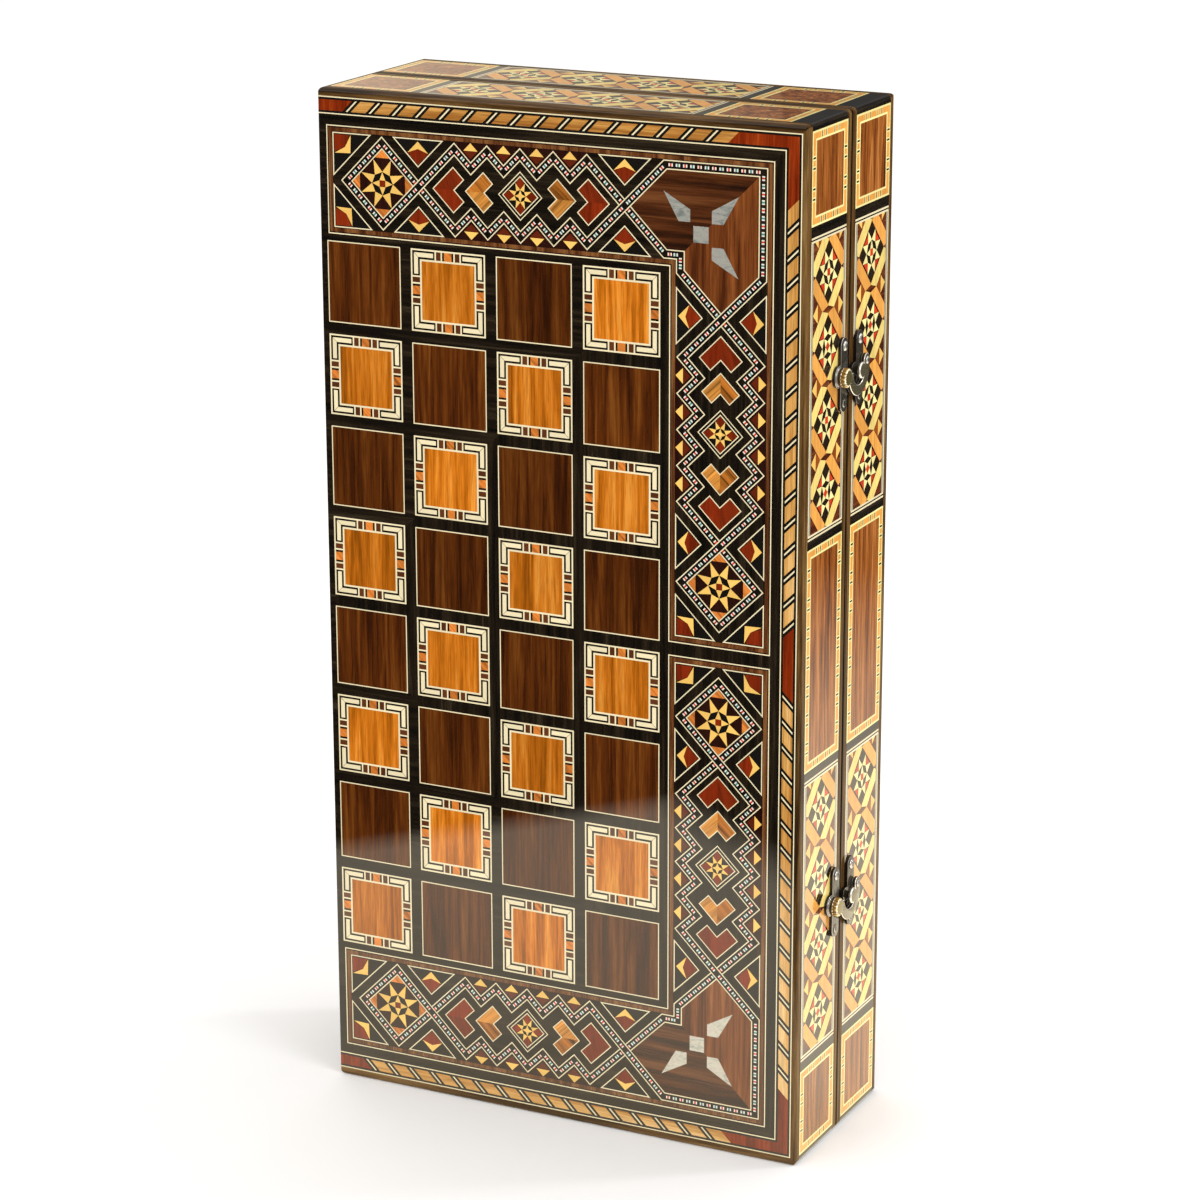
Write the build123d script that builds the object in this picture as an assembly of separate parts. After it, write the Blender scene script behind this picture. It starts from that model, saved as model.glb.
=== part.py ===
"""Chess and backgammon box: two hinged trays with marquetry faces, millimetres.

The box stands on one of its short ends. +Z runs along its 500 mm height, +X points from the
hinges to the latches, and the front tray's chess face looks towards -Y. The trays meet on the
plane y = 0. The origin is the middle of the bottom, with hinges and latches counted in.
Everything is drawn for the front tray. The back tray is its mirror image, with the chess
colours swapped, so that the two faces make one board of eight by eight when the box lies open.
"""
from build123d import *
import os
from math import cos, pi, radians, sin, sqrt

# ------------------------------------------------------------------ chess squares
FILES = 4                 # files on each tray, the other four are on the other tray
RANKS = 8
SQUARE = 39.4             # side of one square
LATTICE = 5.7             # dark strip between two squares
FRAME_OPENING = 28.0      # side of the orange square inside a light square's frame

# ------------------------------------------------------------------ border, from outside inwards
EDGING_ENDS = 4.0         # brown edging on the face, at the two short ends
EDGING_SIDE = 2.5         # the same along the latch side
EDGING_DEPTH = 5.0        # how far the edging reaches down the sides
ROPE_LINE = 1.55          # cream and black line on each side of the rope banding
ROPE_WIDTH = 5.2
DARK_BAND = 5.0           # between the rope banding and the framed border
FRAME_LINE = 0.8          # cream line round the framed border
FRAME_STRIP = 2.5         # walnut strip
FIELD = 45.2              # width of the patterned field
INNER_BAND_ENDS = 3.35    # dark band between the border and the squares, at the short ends
INNER_BAND_SIDE = 4.5     # the same towards the latch side
HINGE_BAND = 3.2          # dark band between the hinge edge and the first squares
FRAME_TO_HINGE = 4.0      # from the hinge edge to the framed border
FRAME_TO_MIDDLE = 3.1     # from the middle of the height to the framed border

# ------------------------------------------------------------------ patterned field
STRINGING = 4.4           # width of the dotted stringing with its two cream lines
NET_MARGIN = 0.3          # field left outside the stringing's corners
STAR_END_GAP = 7.3        # from the end of the field to the middle line of the star diamond
MEDALLION_REACH = 71.0    # from the outer corner of the field to where the medallion begins
PEAKS = 5                 # peaks of the zigzag chain
STAR_RADIUS = 12.2
STAR_WAIST = 5.6          # radius of the star between its points
SMALL_STAR_RADIUS = 6.4
SMALL_STAR_WAIST = 2.9
RED_HEART = 10.3          # half diagonal of the notched padauk diamonds
RED_HEART_OFFSET = 35.0   # from the middle of the chain
BURL_HEART = 9.0          # half diagonal of the notched olive diamonds
BURL_HEART_OFFSET = 19.2
PEARL_FROM_CORNER = 32.8  # from the field's two outer edges to the middle of the pearls
PEARL_SQUARE = 7.6
PEARL_KITE_LENGTH = 18.8
PEARL_KITE_WIDTH = 8.2
PEARL_KITE_NEAR = 7.6     # from the middle of the pearls to the square corner of a kite

# ------------------------------------------------------------------ rope banding
ROPE_START = 17.8         # padauk piece at the start of each run
ROPE_CORNER = 36.2        # reach of the padauk corner from the box's corner

# ------------------------------------------------------------------ trays
TRAY_DEPTH = 50.0
PARTING_GAP = 0.4         # between the rims of the closed box
VENEER = 1.0
FACE_PLY = 4.0
FLOOR_VENEER = 1.0
RAIL = 9.0                # thickness of the four rails
RIM_STRIP = 5.0           # bare walnut left on the rails' outside, at the rim
RIM_ROUND = 0.9
EDGE_ROUND = 2.0
CORNER_ROUND = 2.5

# ------------------------------------------------------------------ veneer on the sides, from an end
SIDE_END_BAR = 3.7        # black end bar on the latch side
SHORT_END_BAR = 9.7       # black bar of the short ends, at the latch side
SIDE_PANEL = 43.0         # walnut panel beside an end
SIDE_BAR = 5.0            # black bar between two panels
SIDE_MOSAIC = 140.3
SIDE_MIDDLE_BAR = 4.3     # black bar beside the middle panel
END_INSET = 3.0           # bare walnut left at the hinge side of the two short ends
END_SINK = 0.15           # the veneer of the two short ends lies this much below the edging

# ------------------------------------------------------------------ backgammon board inside
POINTS = 6                # on each end of each tray
POINT_LENGTH = 188.0
POINT_GAP = 2.4           # between two points at their base
POINT_MARGIN = 3.0        # between a point and the rails

# ------------------------------------------------------------------ hinges
HINGE_HEIGHTS = (110.0, 390.0)
HINGE_LENGTH = 45.0
KNUCKLES = 3
KNUCKLE_RADIUS = 2.6
PIN_RADIUS = 1.1
HINGE_AXIS_OFFSET = 0.25  # the pin's axis stands this far outside the hinge side
LEAF = 1.0                # thickness of a leaf
LEAF_REACH = 8.5          # from the pin's axis to the leaf's edge
HINGE_SCREWS = 2
HINGE_SCREW_OFFSET = 5.6  # from the pin's axis to the screws
HINGE_SCREW_PITCH = 27.0
SCREW_RADIUS = 1.1
SCREW_HEAD_RADIUS = 2.1
SCREW_LENGTH = 9.0

# ------------------------------------------------------------------ latches
LATCH_FROM_END = 121.0    # from each end of the box to a latch's middle
PLATE = 1.2
PLATE_WIDTH = 8.0
PLATE_LENGTH = 35.0
PLATE_OFFSET = 9.0        # from the parting plane to the middle of a plate
PIVOT_OFFSET = 14.5       # from the parting plane to the hook's pivot
PIVOT_LOBE_RADIUS = 5.2
PIVOT_RADIUS = 1.6
POST_OFFSET = 3.2         # from the parting plane to the post
POST_LOBE_RADIUS = 3.4
POST_NECK_RADIUS = 1.9
POST_HEAD_RADIUS = 3.2
POST_HEAD = 1.0
NAIL_PITCH = 27.0         # between the two nails of a plate
NAIL_WIDTH = 1.6          # of the square shank under the head
NAIL_HEAD_RADIUS = 2.3
NAIL_HEAD = 0.7
NAIL_LENGTH = 8.0
HOOK_BOSS = 0.95          # lifts the hook over the nail heads
HOOK = 1.3                # thickness of the hook
HOOK_INNER_RADIUS = 6.9   # the jaw, round the post
HOOK_OUTER_RADIUS = 12.0
HOOK_EYE_RADIUS = 4.4
HOOK_TIP_ANGLE = 18.0     # the jaw ends this far above the post's level
HOOK_CURL_RADIUS = 3.2
KNOB_RADIUS = 4.7
KNOB_HEIGHT = 2.9
KNOB_GROOVES = 16
KNOB_GROOVE = 0.35

# ------------------------------------------------------------------ fits
RUNNING_FIT = 0.05        # round pins, pivots and screws
PLAY = 0.12               # between faces that slide or swing past each other
KNUCKLE_PLAY = 0.3        # round and between hinge knuckles

# ------------------------------------------------------------------ sizes that follow
SQUARE_PITCH = SQUARE + LATTICE
FRAME_RAIL = FRAME_LINE + FRAME_STRIP
BORDER = FIELD + 2 * FRAME_RAIL
ROPE_BAND = ROPE_WIDTH + 2 * ROPE_LINE
BOX_WIDTH = (HINGE_BAND + FILES * SQUARE_PITCH - LATTICE + INNER_BAND_SIDE
             + BORDER + DARK_BAND + ROPE_BAND + EDGING_SIDE)
BOX_HEIGHT = RANKS * SQUARE_PITCH - LATTICE + 2 * (
    INNER_BAND_ENDS + BORDER + DARK_BAND + ROPE_BAND + EDGING_ENDS)
HALF_HEIGHT = BOX_HEIGHT / 2
HINGE_STANDS_OUT = HINGE_AXIS_OFFSET + KNUCKLE_RADIUS
LATCH_STANDS_OUT = PLATE + HOOK_BOSS + PLAY + HOOK + KNOB_HEIGHT
LEFT = (HINGE_STANDS_OUT - LATCH_STANDS_OUT - BOX_WIDTH) / 2
RIGHT = LEFT + BOX_WIDTH
OUTSIDE = -TRAY_DEPTH                       # the front tray's chess face
RIM = -PARTING_GAP / 2                      # the front tray's rim
PANEL_Y = OUTSIDE + VENEER
RAIL_Y = OUTSIDE + EDGING_DEPTH
FLOOR_Y = RAIL_Y + FLOOR_VENEER
STRIP_Y = RIM - RIM_STRIP + PARTING_GAP / 2
HINGE_X = LEFT - HINGE_AXIS_OFFSET
LATCH_HEIGHTS = (LATCH_FROM_END, BOX_HEIGHT - LATCH_FROM_END)
PLATE_X = RIGHT + PLATE
HOOK_X = PLATE_X + HOOK_BOSS + PLAY
KNOB_X = HOOK_X + HOOK

# Planes for flat drawings. FACE has its origin on the hinge edge at half height, its first
# axis towards the latches and its second axis upwards, and looks out of the chess face.
FACE = Plane(origin=(LEFT, OUTSIDE, HALF_HEIGHT), x_dir=(1, 0, 0), z_dir=(0, -1, 0))
FLOOR = Plane(origin=(LEFT + BOX_WIDTH / 2, FLOOR_Y, HALF_HEIGHT), x_dir=(1, 0, 0),
              z_dir=(0, -1, 0))


# ------------------------------------------------------------------ flat drawing
def counter_clockwise(points):
    """The same outline, turned so that it runs counter-clockwise."""
    area = sum(a[0] * b[1] - b[0] * a[1] for a, b in zip(points, points[1:] + points[:1]))
    return points if area > 0 else points[::-1]


def polygon(points):
    """A flat face from its corners."""
    return Polygon(*counter_clockwise(points), align=None)


def box(low, high):
    """A block between two corners."""
    size = [b - a for a, b in zip(low, high)]
    return Pos(*low) * Box(*size, align=(Align.MIN, Align.MIN, Align.MIN))


def rectangle(low, high):
    """The corners of an upright rectangle."""
    return [(low[0], low[1]), (high[0], low[1]), (high[0], high[1]), (low[0], high[1])]


def moved_edges(points, distance):
    """Corners of a closed outline, counter-clockwise, with each edge moved outwards."""
    moved = []
    for i, here in enumerate(points):
        before, after = points[i - 1], points[(i + 1) % len(points)]
        n1 = outward(before, here)
        n2 = outward(here, after)
        stretch = distance / (1 + n1[0] * n2[0] + n1[1] * n2[1])
        moved.append((here[0] + (n1[0] + n2[0]) * stretch, here[1] + (n1[1] + n2[1]) * stretch))
    return moved


def outward(start, end):
    """Unit normal on the right of an edge."""
    dx, dy = end[0] - start[0], end[1] - start[1]
    length = sqrt(dx * dx + dy * dy)
    return dy / length, -dx / length


def band(points, width):
    """A closed band of even width along an outline, with mitred corners."""
    return polygon(moved_edges(points, width / 2)) - polygon(moved_edges(points, -width / 2))


def upside_down(shapes):
    """The same drawing below the middle of the height."""
    return [mirror(shape, about=Plane.XZ) for shape in shapes]


def both_halves(shapes):
    """A drawing of the upper half, with its mirror image in the lower half."""
    return list(shapes) + upside_down(shapes)


def veneers(shapes, plane=FACE, thickness=VENEER):
    """Solids under a plane, one for each flat face of the drawing."""
    faces = [face for shape in shapes for face in shape.faces()]
    inwards = plane.z_dir * -1
    return [extrude(plane * face, amount=thickness, dir=inwards) for face in faces]


# ------------------------------------------------------------------ chess squares
def square_centres(parity):
    """Centres of the squares of one colour, in the chess face's plane."""
    first_u = HINGE_BAND + SQUARE / 2
    first_w = (RANKS - 1) * SQUARE_PITCH / 2
    return [(first_u + file * SQUARE_PITCH, first_w - rank * SQUARE_PITCH)
            for rank in range(RANKS) for file in range(FILES) if (file + rank) % 2 == parity]


def squares(centres, side):
    return [Pos(u, w) * Rectangle(side, side) for u, w in centres]


# ------------------------------------------------------------------ border drawing
ROPE_OUT_U = BOX_WIDTH - EDGING_SIDE - ROPE_LINE
ROPE_OUT_W = HALF_HEIGHT - EDGING_ENDS - ROPE_LINE
BORDER_OUT_U = ROPE_OUT_U - ROPE_WIDTH - ROPE_LINE - DARK_BAND
BORDER_OUT_W = ROPE_OUT_W - ROPE_WIDTH - ROPE_LINE - DARK_BAND
FIELD_OUT_U = BORDER_OUT_U - FRAME_RAIL
FIELD_OUT_W = BORDER_OUT_W - FRAME_RAIL
FIELD_MIDDLE_U = FIELD_OUT_U - FIELD / 2
FIELD_MIDDLE_W = FIELD_OUT_W - FIELD / 2
NET_HALF = FIELD / 2 - NET_MARGIN - STRINGING / sqrt(2)


def border_outline():
    """The L-shaped framed border of the upper half, along the end and the latch side."""
    inner_u, inner_w = BORDER_OUT_U - BORDER, BORDER_OUT_W - BORDER
    return [(FRAME_TO_HINGE, inner_w), (inner_u, inner_w), (inner_u, FRAME_TO_MIDDLE),
            (BORDER_OUT_U, FRAME_TO_MIDDLE), (BORDER_OUT_U, BORDER_OUT_W),
            (FRAME_TO_HINGE, BORDER_OUT_W)]


def frame_strip():
    outline = border_outline()
    return (polygon(moved_edges(outline, -FRAME_LINE))
            - polygon(moved_edges(outline, -FRAME_LINE - FRAME_STRIP)))


# The border's two arms carry the same row of motifs. A place on an arm is (along, across), with
# along measured from the arm's free end, so that one function draws both.
def end_arm(along, across):
    return along + FRAME_TO_HINGE + FRAME_RAIL, FIELD_MIDDLE_W + across


def side_arm(along, across):
    return FIELD_MIDDLE_U + across, along + FRAME_TO_MIDDLE + FRAME_RAIL


END_ARM_LENGTH = FIELD_OUT_U - FRAME_TO_HINGE - FRAME_RAIL
SIDE_ARM_LENGTH = FIELD_OUT_W - FRAME_TO_MIDDLE - FRAME_RAIL
ARMS = ((end_arm, END_ARM_LENGTH), (side_arm, SIDE_ARM_LENGTH))


def chain_limits(length):
    """Where the zigzag chain of an arm begins and ends."""
    return STAR_END_GAP + 2 * NET_HALF, length - MEDALLION_REACH


def on_arm(arm, points):
    return counter_clockwise([arm(along, across) for along, across in points])


def star_diamond(middle, half):
    return [(middle - half, 0), (middle, -half), (middle + half, 0), (middle, half)]


def chain_outline(length):
    """The zigzag outline between two crossings, with peaks on both sides."""
    start, end = chain_limits(length)
    step = (end - start - 2 * NET_HALF) / (PEAKS - 1)
    upper = []
    for peak in range(PEAKS):
        upper.append((start + NET_HALF + peak * step, NET_HALF))
        if peak < PEAKS - 1:
            upper.append((start + NET_HALF + (peak + 0.5) * step, NET_HALF - step / 2))
    lower = [(along, -across) for along, across in upper]
    return [(start, 0)] + lower + [(end, 0)] + upper[::-1]


def medallion_outline():
    """The corner medallion between the two crossings at the arms' ends."""
    half = (FIELD - STRINGING) / 2
    end_u, end_w = FIELD_OUT_U - MEDALLION_REACH, FIELD_MIDDLE_W
    side_u, side_w = FIELD_MIDDLE_U, FIELD_OUT_W - MEDALLION_REACH
    outer_u, outer_w = FIELD_OUT_U - STRINGING / 2, FIELD_OUT_W - STRINGING / 2
    return [(end_u, end_w), (end_u + half, end_w - half), (side_u - half, end_w - half),
            (side_u - half, side_w + half), (side_u, side_w), (outer_u, side_w + half),
            (outer_u, outer_w), (end_u + half, outer_w)]


def heart(middle, half, facing):
    """A diamond without the quarter that faces the middle of the chain."""
    return [(middle - facing * half, 0), (middle, half), (middle + facing * half / 2, half / 2),
            (middle, 0), (middle + facing * half / 2, -half / 2), (middle, -half)]


def star(middle, radius, waist):
    """A star of eight points, none of which looks along the arm."""
    points = []
    for i in range(16):
        r = radius if i % 2 else waist
        points.append((middle + r * cos(i * pi / 8), r * sin(i * pi / 8)))
    return points


def stringing():
    """The net of dotted stringing: star diamonds, zigzag chains and the medallion's outline."""
    net = band(medallion_outline(), STRINGING)
    for arm, length in ARMS:
        net += band(on_arm(arm, star_diamond(STAR_END_GAP + NET_HALF, NET_HALF)), STRINGING)
        net += band(on_arm(arm, chain_outline(length)), STRINGING)
    return net


def medallion():
    return polygon(moved_edges(medallion_outline(), -STRINGING / 2))


def arm_middle(length):
    return sum(chain_limits(length)) / 2


def hearts(half, offset):
    drawn = []
    for arm, length in ARMS:
        middle = arm_middle(length)
        for side in (-1, 1):
            drawn.append(polygon(on_arm(arm, heart(middle + side * offset, half, -side))))
    return drawn


def stars():
    drawn = []
    for arm, length in ARMS:
        drawn.append(polygon(on_arm(arm, star(STAR_END_GAP + NET_HALF, STAR_RADIUS, STAR_WAIST))))
        drawn.append(polygon(on_arm(arm, star(arm_middle(length), SMALL_STAR_RADIUS,
                                              SMALL_STAR_WAIST))))
    return drawn


def pearls():
    """A square and three kites of mother-of-pearl; no kite points to the board's corner."""
    middle = Pos(FIELD_OUT_U - PEARL_FROM_CORNER, FIELD_OUT_W - PEARL_FROM_CORNER)
    half = PEARL_KITE_WIDTH / 2
    widest = PEARL_KITE_NEAR + half
    kite = [(PEARL_KITE_NEAR, 0), (widest, -half), (PEARL_KITE_NEAR + PEARL_KITE_LENGTH, 0),
            (widest, half)]
    kites = [middle * Rot(0, 0, turn) * polygon(kite) for turn in (-45, 45, 135)]
    return [middle * Rectangle(PEARL_SQUARE, PEARL_SQUARE)] + kites


# ------------------------------------------------------------------ rope banding drawing
def end_run(along, out):
    return along, ROPE_OUT_W - ROPE_WIDTH + out


def side_run(along, out):
    return ROPE_OUT_U - ROPE_WIDTH + out, along


RUNS = ((end_run, BOX_WIDTH), (side_run, HALF_HEIGHT))


def slanted(run, start, end, square_start=False):
    """A piece of the rope between two places, its ends slanted by 45 degrees."""
    lean = ROPE_WIDTH / 2
    foot = (start, start) if square_start else (start - lean, start + lean)
    points = [run(foot[0], 0), run(end - lean, 0), run(end + lean, ROPE_WIDTH),
              run(foot[1], ROPE_WIDTH)]
    return polygon(points)


def rope_olive():
    """The long olive wood piece of each run, between the two padauk pieces."""
    return [slanted(run, ROPE_START, length - ROPE_CORNER) for run, length in RUNS]


def rope_padauk():
    """Red pieces at the start of each run and round the corner."""
    lean = ROPE_WIDTH / 2
    drawn = [slanted(run, 0, ROPE_START, square_start=True) for run, _ in RUNS]
    end_joint, side_joint = BOX_WIDTH - ROPE_CORNER, HALF_HEIGHT - ROPE_CORNER
    in_u, in_w = ROPE_OUT_U - ROPE_WIDTH, ROPE_OUT_W - ROPE_WIDTH
    drawn.append(polygon([(end_joint - lean, in_w), (in_u, in_w), (in_u, side_joint - lean),
                          (ROPE_OUT_U, side_joint + lean), (ROPE_OUT_U, ROPE_OUT_W),
                          (end_joint + lean, ROPE_OUT_W)]))
    return drawn


# ------------------------------------------------------------------ outside of a tray
def rounded_box():
    """The whole box with its four long corners rounded, to trim what reaches a corner."""
    block = box((LEFT, OUTSIDE, 0), (RIGHT, 0, BOX_HEIGHT))
    return fillet(block.edges().filter_by(Axis.Y), CORNER_ROUND)


ROUNDED = rounded_box()


def trimmed(shapes):
    return [piece for shape in shapes for piece in (shape & ROUNDED).solids()]


def mitre_wedge(side, ends, sides, y_low, y_high):
    """The part of the box that belongs to one rail, bounded by mitres at its two ends."""
    outer_low, outer_high = (LEFT, 0), (RIGHT, BOX_HEIGHT)
    inner_low, inner_high = (LEFT + sides[0], ends), (RIGHT - sides[1], BOX_HEIGHT - ends)
    corners = {
        "hinge": [outer_low, (LEFT, BOX_HEIGHT), (inner_low[0], inner_high[1]), inner_low],
        "latch": [(RIGHT, 0), outer_high, inner_high, (inner_high[0], inner_low[1])],
        "top": [(LEFT, BOX_HEIGHT), outer_high, inner_high, (inner_low[0], inner_high[1])],
        "bottom": [outer_low, (RIGHT, 0), (inner_high[0], inner_low[1]), inner_low],
    }[side]
    plane = Plane(origin=(0, y_low, 0), x_dir=(1, 0, 0), z_dir=(0, -1, 0))
    return extrude(plane * polygon(corners), amount=y_high - y_low, dir=(0, 1, 0))


def along_edge(side, y_low, y_high, width):
    """A block along one side of the box, as wide as the piece that lies there."""
    low, high = [LEFT, y_low, 0], [RIGHT, y_high, BOX_HEIGHT]
    if side == "hinge":
        high[0] = LEFT + width
    elif side == "latch":
        low[0] = RIGHT - width
    elif side == "top":
        low[2] = BOX_HEIGHT - width
    else:
        high[2] = width
    return box(low, high)


def outer_edge(block, side, y):
    """The long edge of a block on the outside of the box, at a given depth."""
    axis = Axis.Z if side in ("hinge", "latch") else Axis.X
    at_depth = [e for e in block.edges().filter_by(axis) if abs(e.center().Y - y) < 1e-6]
    away = {"hinge": lambda e: -e.center().X, "latch": lambda e: e.center().X,
            "top": lambda e: e.center().Z, "bottom": lambda e: -e.center().Z}[side]
    return max(at_depth, key=away)


def edging_strip(side):
    width = EDGING_SIDE if side == "latch" else EDGING_ENDS
    block = along_edge(side, OUTSIDE, RAIL_Y, width)
    block = fillet(outer_edge(block, side, OUTSIDE), EDGE_ROUND)
    return block & mitre_wedge(side, EDGING_ENDS, (0, EDGING_SIDE), OUTSIDE, RAIL_Y)


def rail(side):
    """One walnut rail with mitred ends and, except on the hinge side, a recess for veneer."""
    block = along_edge(side, RAIL_Y, RIM, RAIL)
    block = fillet(outer_edge(block, side, RIM), RIM_ROUND)
    block &= mitre_wedge(side, RAIL, (RAIL, RAIL), RAIL_Y, RIM)
    block -= [end_veneer_space("top"), end_veneer_space("bottom"),
              along_edge("latch", RAIL_Y, STRIP_Y, VENEER)]
    if side == "hinge":
        block -= [hinge_seat(height) for height in HINGE_HEIGHTS]
    elif side == "latch":
        block -= latch_holes()
    return block & ROUNDED


def end_veneer_space(side):
    """The room that the veneer of a short end takes, up to the latch side's veneer."""
    whole = along_edge(side, RAIL_Y, STRIP_Y, VENEER + END_SINK)
    return whole & box((LEFT + END_INSET, RAIL_Y, 0), (RIGHT - VENEER, STRIP_Y, BOX_HEIGHT))


def face_panel():
    return box((LEFT, PANEL_Y, EDGING_ENDS), (RIGHT - EDGING_SIDE, RAIL_Y, BOX_HEIGHT - EDGING_ENDS))


# ------------------------------------------------------------------ veneer of a tray's sides
def side_layout():
    """Bars, walnut panels and mosaics of the latch side, as spans along the height."""
    bars, panels, mosaics = [], [], []
    place = 0.0
    for kind, length in ((bars, SIDE_END_BAR), (panels, SIDE_PANEL), (bars, SIDE_BAR),
                         (mosaics, SIDE_MOSAIC), (bars, SIDE_MIDDLE_BAR)):
        kind.append((place, place + length))
        kind.append((BOX_HEIGHT - place - length, BOX_HEIGHT - place))
        place += length
    panels.append((place, BOX_HEIGHT - place))
    return bars, panels, mosaics


def end_layout():
    """The same for a short end, as spans from the hinge edge; the mosaic takes what is left."""
    bar = BOX_WIDTH - VENEER - SHORT_END_BAR
    first, last = END_INSET + SIDE_PANEL, bar - SIDE_PANEL
    bars = [(first, first + SIDE_BAR), (last - SIDE_BAR, last), (bar, BOX_WIDTH - VENEER)]
    panels = [(END_INSET, first), (last, bar)]
    return bars, panels, [(first + SIDE_BAR, last - SIDE_BAR)]


def side_veneers(kind):
    """Veneers of one kind on the latch side and both ends: 0 bars, 1 panels, 2 mosaics."""
    pieces = [box((RIGHT - VENEER, RAIL_Y, low), (RIGHT, STRIP_Y, high))
              for low, high in side_layout()[kind]]
    for low, high in end_layout()[kind]:
        for z in (END_SINK, BOX_HEIGHT - END_SINK - VENEER):
            pieces.append(box((LEFT + low, RAIL_Y, z), (LEFT + high, STRIP_Y, z + VENEER)))
    return trimmed([piece - latch_holes() for piece in pieces])


def latch_holes():
    return [hole for height in LATCH_HEIGHTS for hole in nail_holes(height)]


# ------------------------------------------------------------------ backgammon floor
def floor_outline():
    half_u, half_w = BOX_WIDTH / 2 - RAIL, HALF_HEIGHT - RAIL
    return polygon(rectangle((-half_u, -half_w), (half_u, half_w)))


def points(parity):
    """Long triangles from both ends, alternately dark and light."""
    half_u, half_w = BOX_WIDTH / 2 - RAIL - POINT_MARGIN, HALF_HEIGHT - RAIL - POINT_MARGIN
    pitch = 2 * half_u / POINTS
    drawn = []
    for end in (-1, 1):
        for i in range(POINTS):
            if (i + (end > 0)) % 2 != parity:
                continue
            middle, half = -half_u + (i + 0.5) * pitch, (pitch - POINT_GAP) / 2
            drawn.append(polygon([(middle - half, end * half_w), (middle + half, end * half_w),
                                  (middle, end * (half_w - POINT_LENGTH))]))
    return drawn


def playing_floor():
    return floor_outline() - (points(0) + points(1))


# ------------------------------------------------------------------ hinges
def knuckle_spans(height, first):
    """Heights of one leaf's knuckles: every other one, from the first or the second."""
    length = HINGE_LENGTH / KNUCKLES
    low = height - HINGE_LENGTH / 2
    return [(low + i * length, low + (i + 1) * length) for i in range(first, KNUCKLES, 2)]


def barrel(radius, low, high):
    return Pos(HINGE_X, 0, low) * Cylinder(radius, high - low, align=(Align.CENTER, Align.CENTER,
                                                                      Align.MIN))


def hinge_seat(height):
    """Room cut into a rim for the leaf, the knuckles and the screws."""
    low, high = height - HINGE_LENGTH / 2 - PLAY, height + HINGE_LENGTH / 2 + PLAY
    notch = KNUCKLE_RADIUS + KNUCKLE_PLAY
    seat = box((LEFT - notch, RIM - LEAF, low), (HINGE_X + LEAF_REACH + PLAY, RIM + LEAF, high))
    seat += box((LEFT - notch, -notch, low), (HINGE_X + notch, notch, high))
    for z in screw_heights(height):
        seat += Pos(*screw_place(z)) * screw_form(RUNNING_FIT)
    return seat


def screw_heights(height):
    first = height - (HINGE_SCREWS - 1) * HINGE_SCREW_PITCH / 2
    return [first + i * HINGE_SCREW_PITCH for i in range(HINGE_SCREWS)]


def screw_place(z):
    return HINGE_X + HINGE_SCREW_OFFSET, RIM, z


def hinge_leaf(height, first):
    """A leaf with its knuckles, cut back where the other leaf's knuckles turn."""
    low, high = height - HINGE_LENGTH / 2, height + HINGE_LENGTH / 2
    cut_back = HINGE_X + KNUCKLE_RADIUS + KNUCKLE_PLAY
    leaf = box((cut_back, RIM - LEAF, low), (HINGE_X + LEAF_REACH, RIM, high))
    for start, end in knuckle_spans(height, first):
        start += KNUCKLE_PLAY / 2
        end -= KNUCKLE_PLAY / 2
        leaf += box((HINGE_X, RIM - LEAF, start), (cut_back, RIM, end))
        leaf += barrel(KNUCKLE_RADIUS, start, end)
    leaf -= barrel(PIN_RADIUS + RUNNING_FIT, low, high)
    for z in screw_heights(height):
        leaf -= Pos(*screw_place(z)) * screw_form(RUNNING_FIT)
    return leaf


def screw_form(room=0.0):
    """A countersunk screw that points away from the rim, its head as deep as a leaf. Eight
    flats stand for the thread."""
    head = Cone(SCREW_RADIUS + room, SCREW_HEAD_RADIUS + room, LEAF)
    shank = extrude(RegularPolygon(SCREW_RADIUS + room, 8), amount=SCREW_LENGTH - LEAF + room)
    return Rot(90, 0, 0) * (Pos(0, 0, LEAF / 2) * Rot(180, 0, 0) * head + Pos(0, 0, LEAF) * shank)


def hinge_screws():
    return [Pos(*screw_place(z)) * screw_form() for height in HINGE_HEIGHTS
            for z in screw_heights(height)]


def hinge_pins():
    return [barrel(PIN_RADIUS, height - HINGE_LENGTH / 2, height + HINGE_LENGTH / 2)
            for height in HINGE_HEIGHTS]


# ------------------------------------------------------------------ latches
def side_disc(y, z, radius, low, high):
    """A round piece on the latch side, its axis along X."""
    return Pos(low, y, z) * Rot(0, 90, 0) * Cylinder(radius, high - low, align=(
        Align.CENTER, Align.CENTER, Align.MIN))


def side_cut(sketch, y, z, low, high):
    """A flat drawing on the latch side, with its axes along Y and Z, made solid."""
    plane = Plane(origin=(low, y, z), x_dir=(0, 1, 0), z_dir=(1, 0, 0))
    return extrude(plane * sketch, amount=high - low, dir=(1, 0, 0))


def nail_places(height):
    return [(-PLATE_OFFSET, height + end * NAIL_PITCH / 2) for end in (-1, 1)]


def nail_shank(room=0.0):
    """A square shank that tapers to a point, as cut nails have, from the plate inwards."""
    width, length = NAIL_WIDTH + 2 * room, NAIL_LENGTH + PLATE + room
    taper = Plane.XY * Rectangle(width, width)
    point = Pos(0, 0, -length) * Rectangle(width / 8, width / 8)
    return loft([point, taper])


def nail_holes(height):
    return [nail_pose(y, z) * nail_shank(RUNNING_FIT) for y, z in nail_places(height)]


def nail_pose(y, z):
    return Pos(PLATE_X, y, z) * Rot(0, 90, 0)


def latch_plate(height, lobe_offset, lobe_radius):
    """A round-ended plate with a lobe on one side, for the front tray."""
    sketch = SlotOverall(PLATE_LENGTH, PLATE_WIDTH, rotation=90)
    sketch += Pos(PLATE_OFFSET - lobe_offset, 0) * Circle(lobe_radius)
    plate = side_cut(sketch, -PLATE_OFFSET, height, RIGHT, PLATE_X)
    return plate - nail_holes(height)


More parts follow.
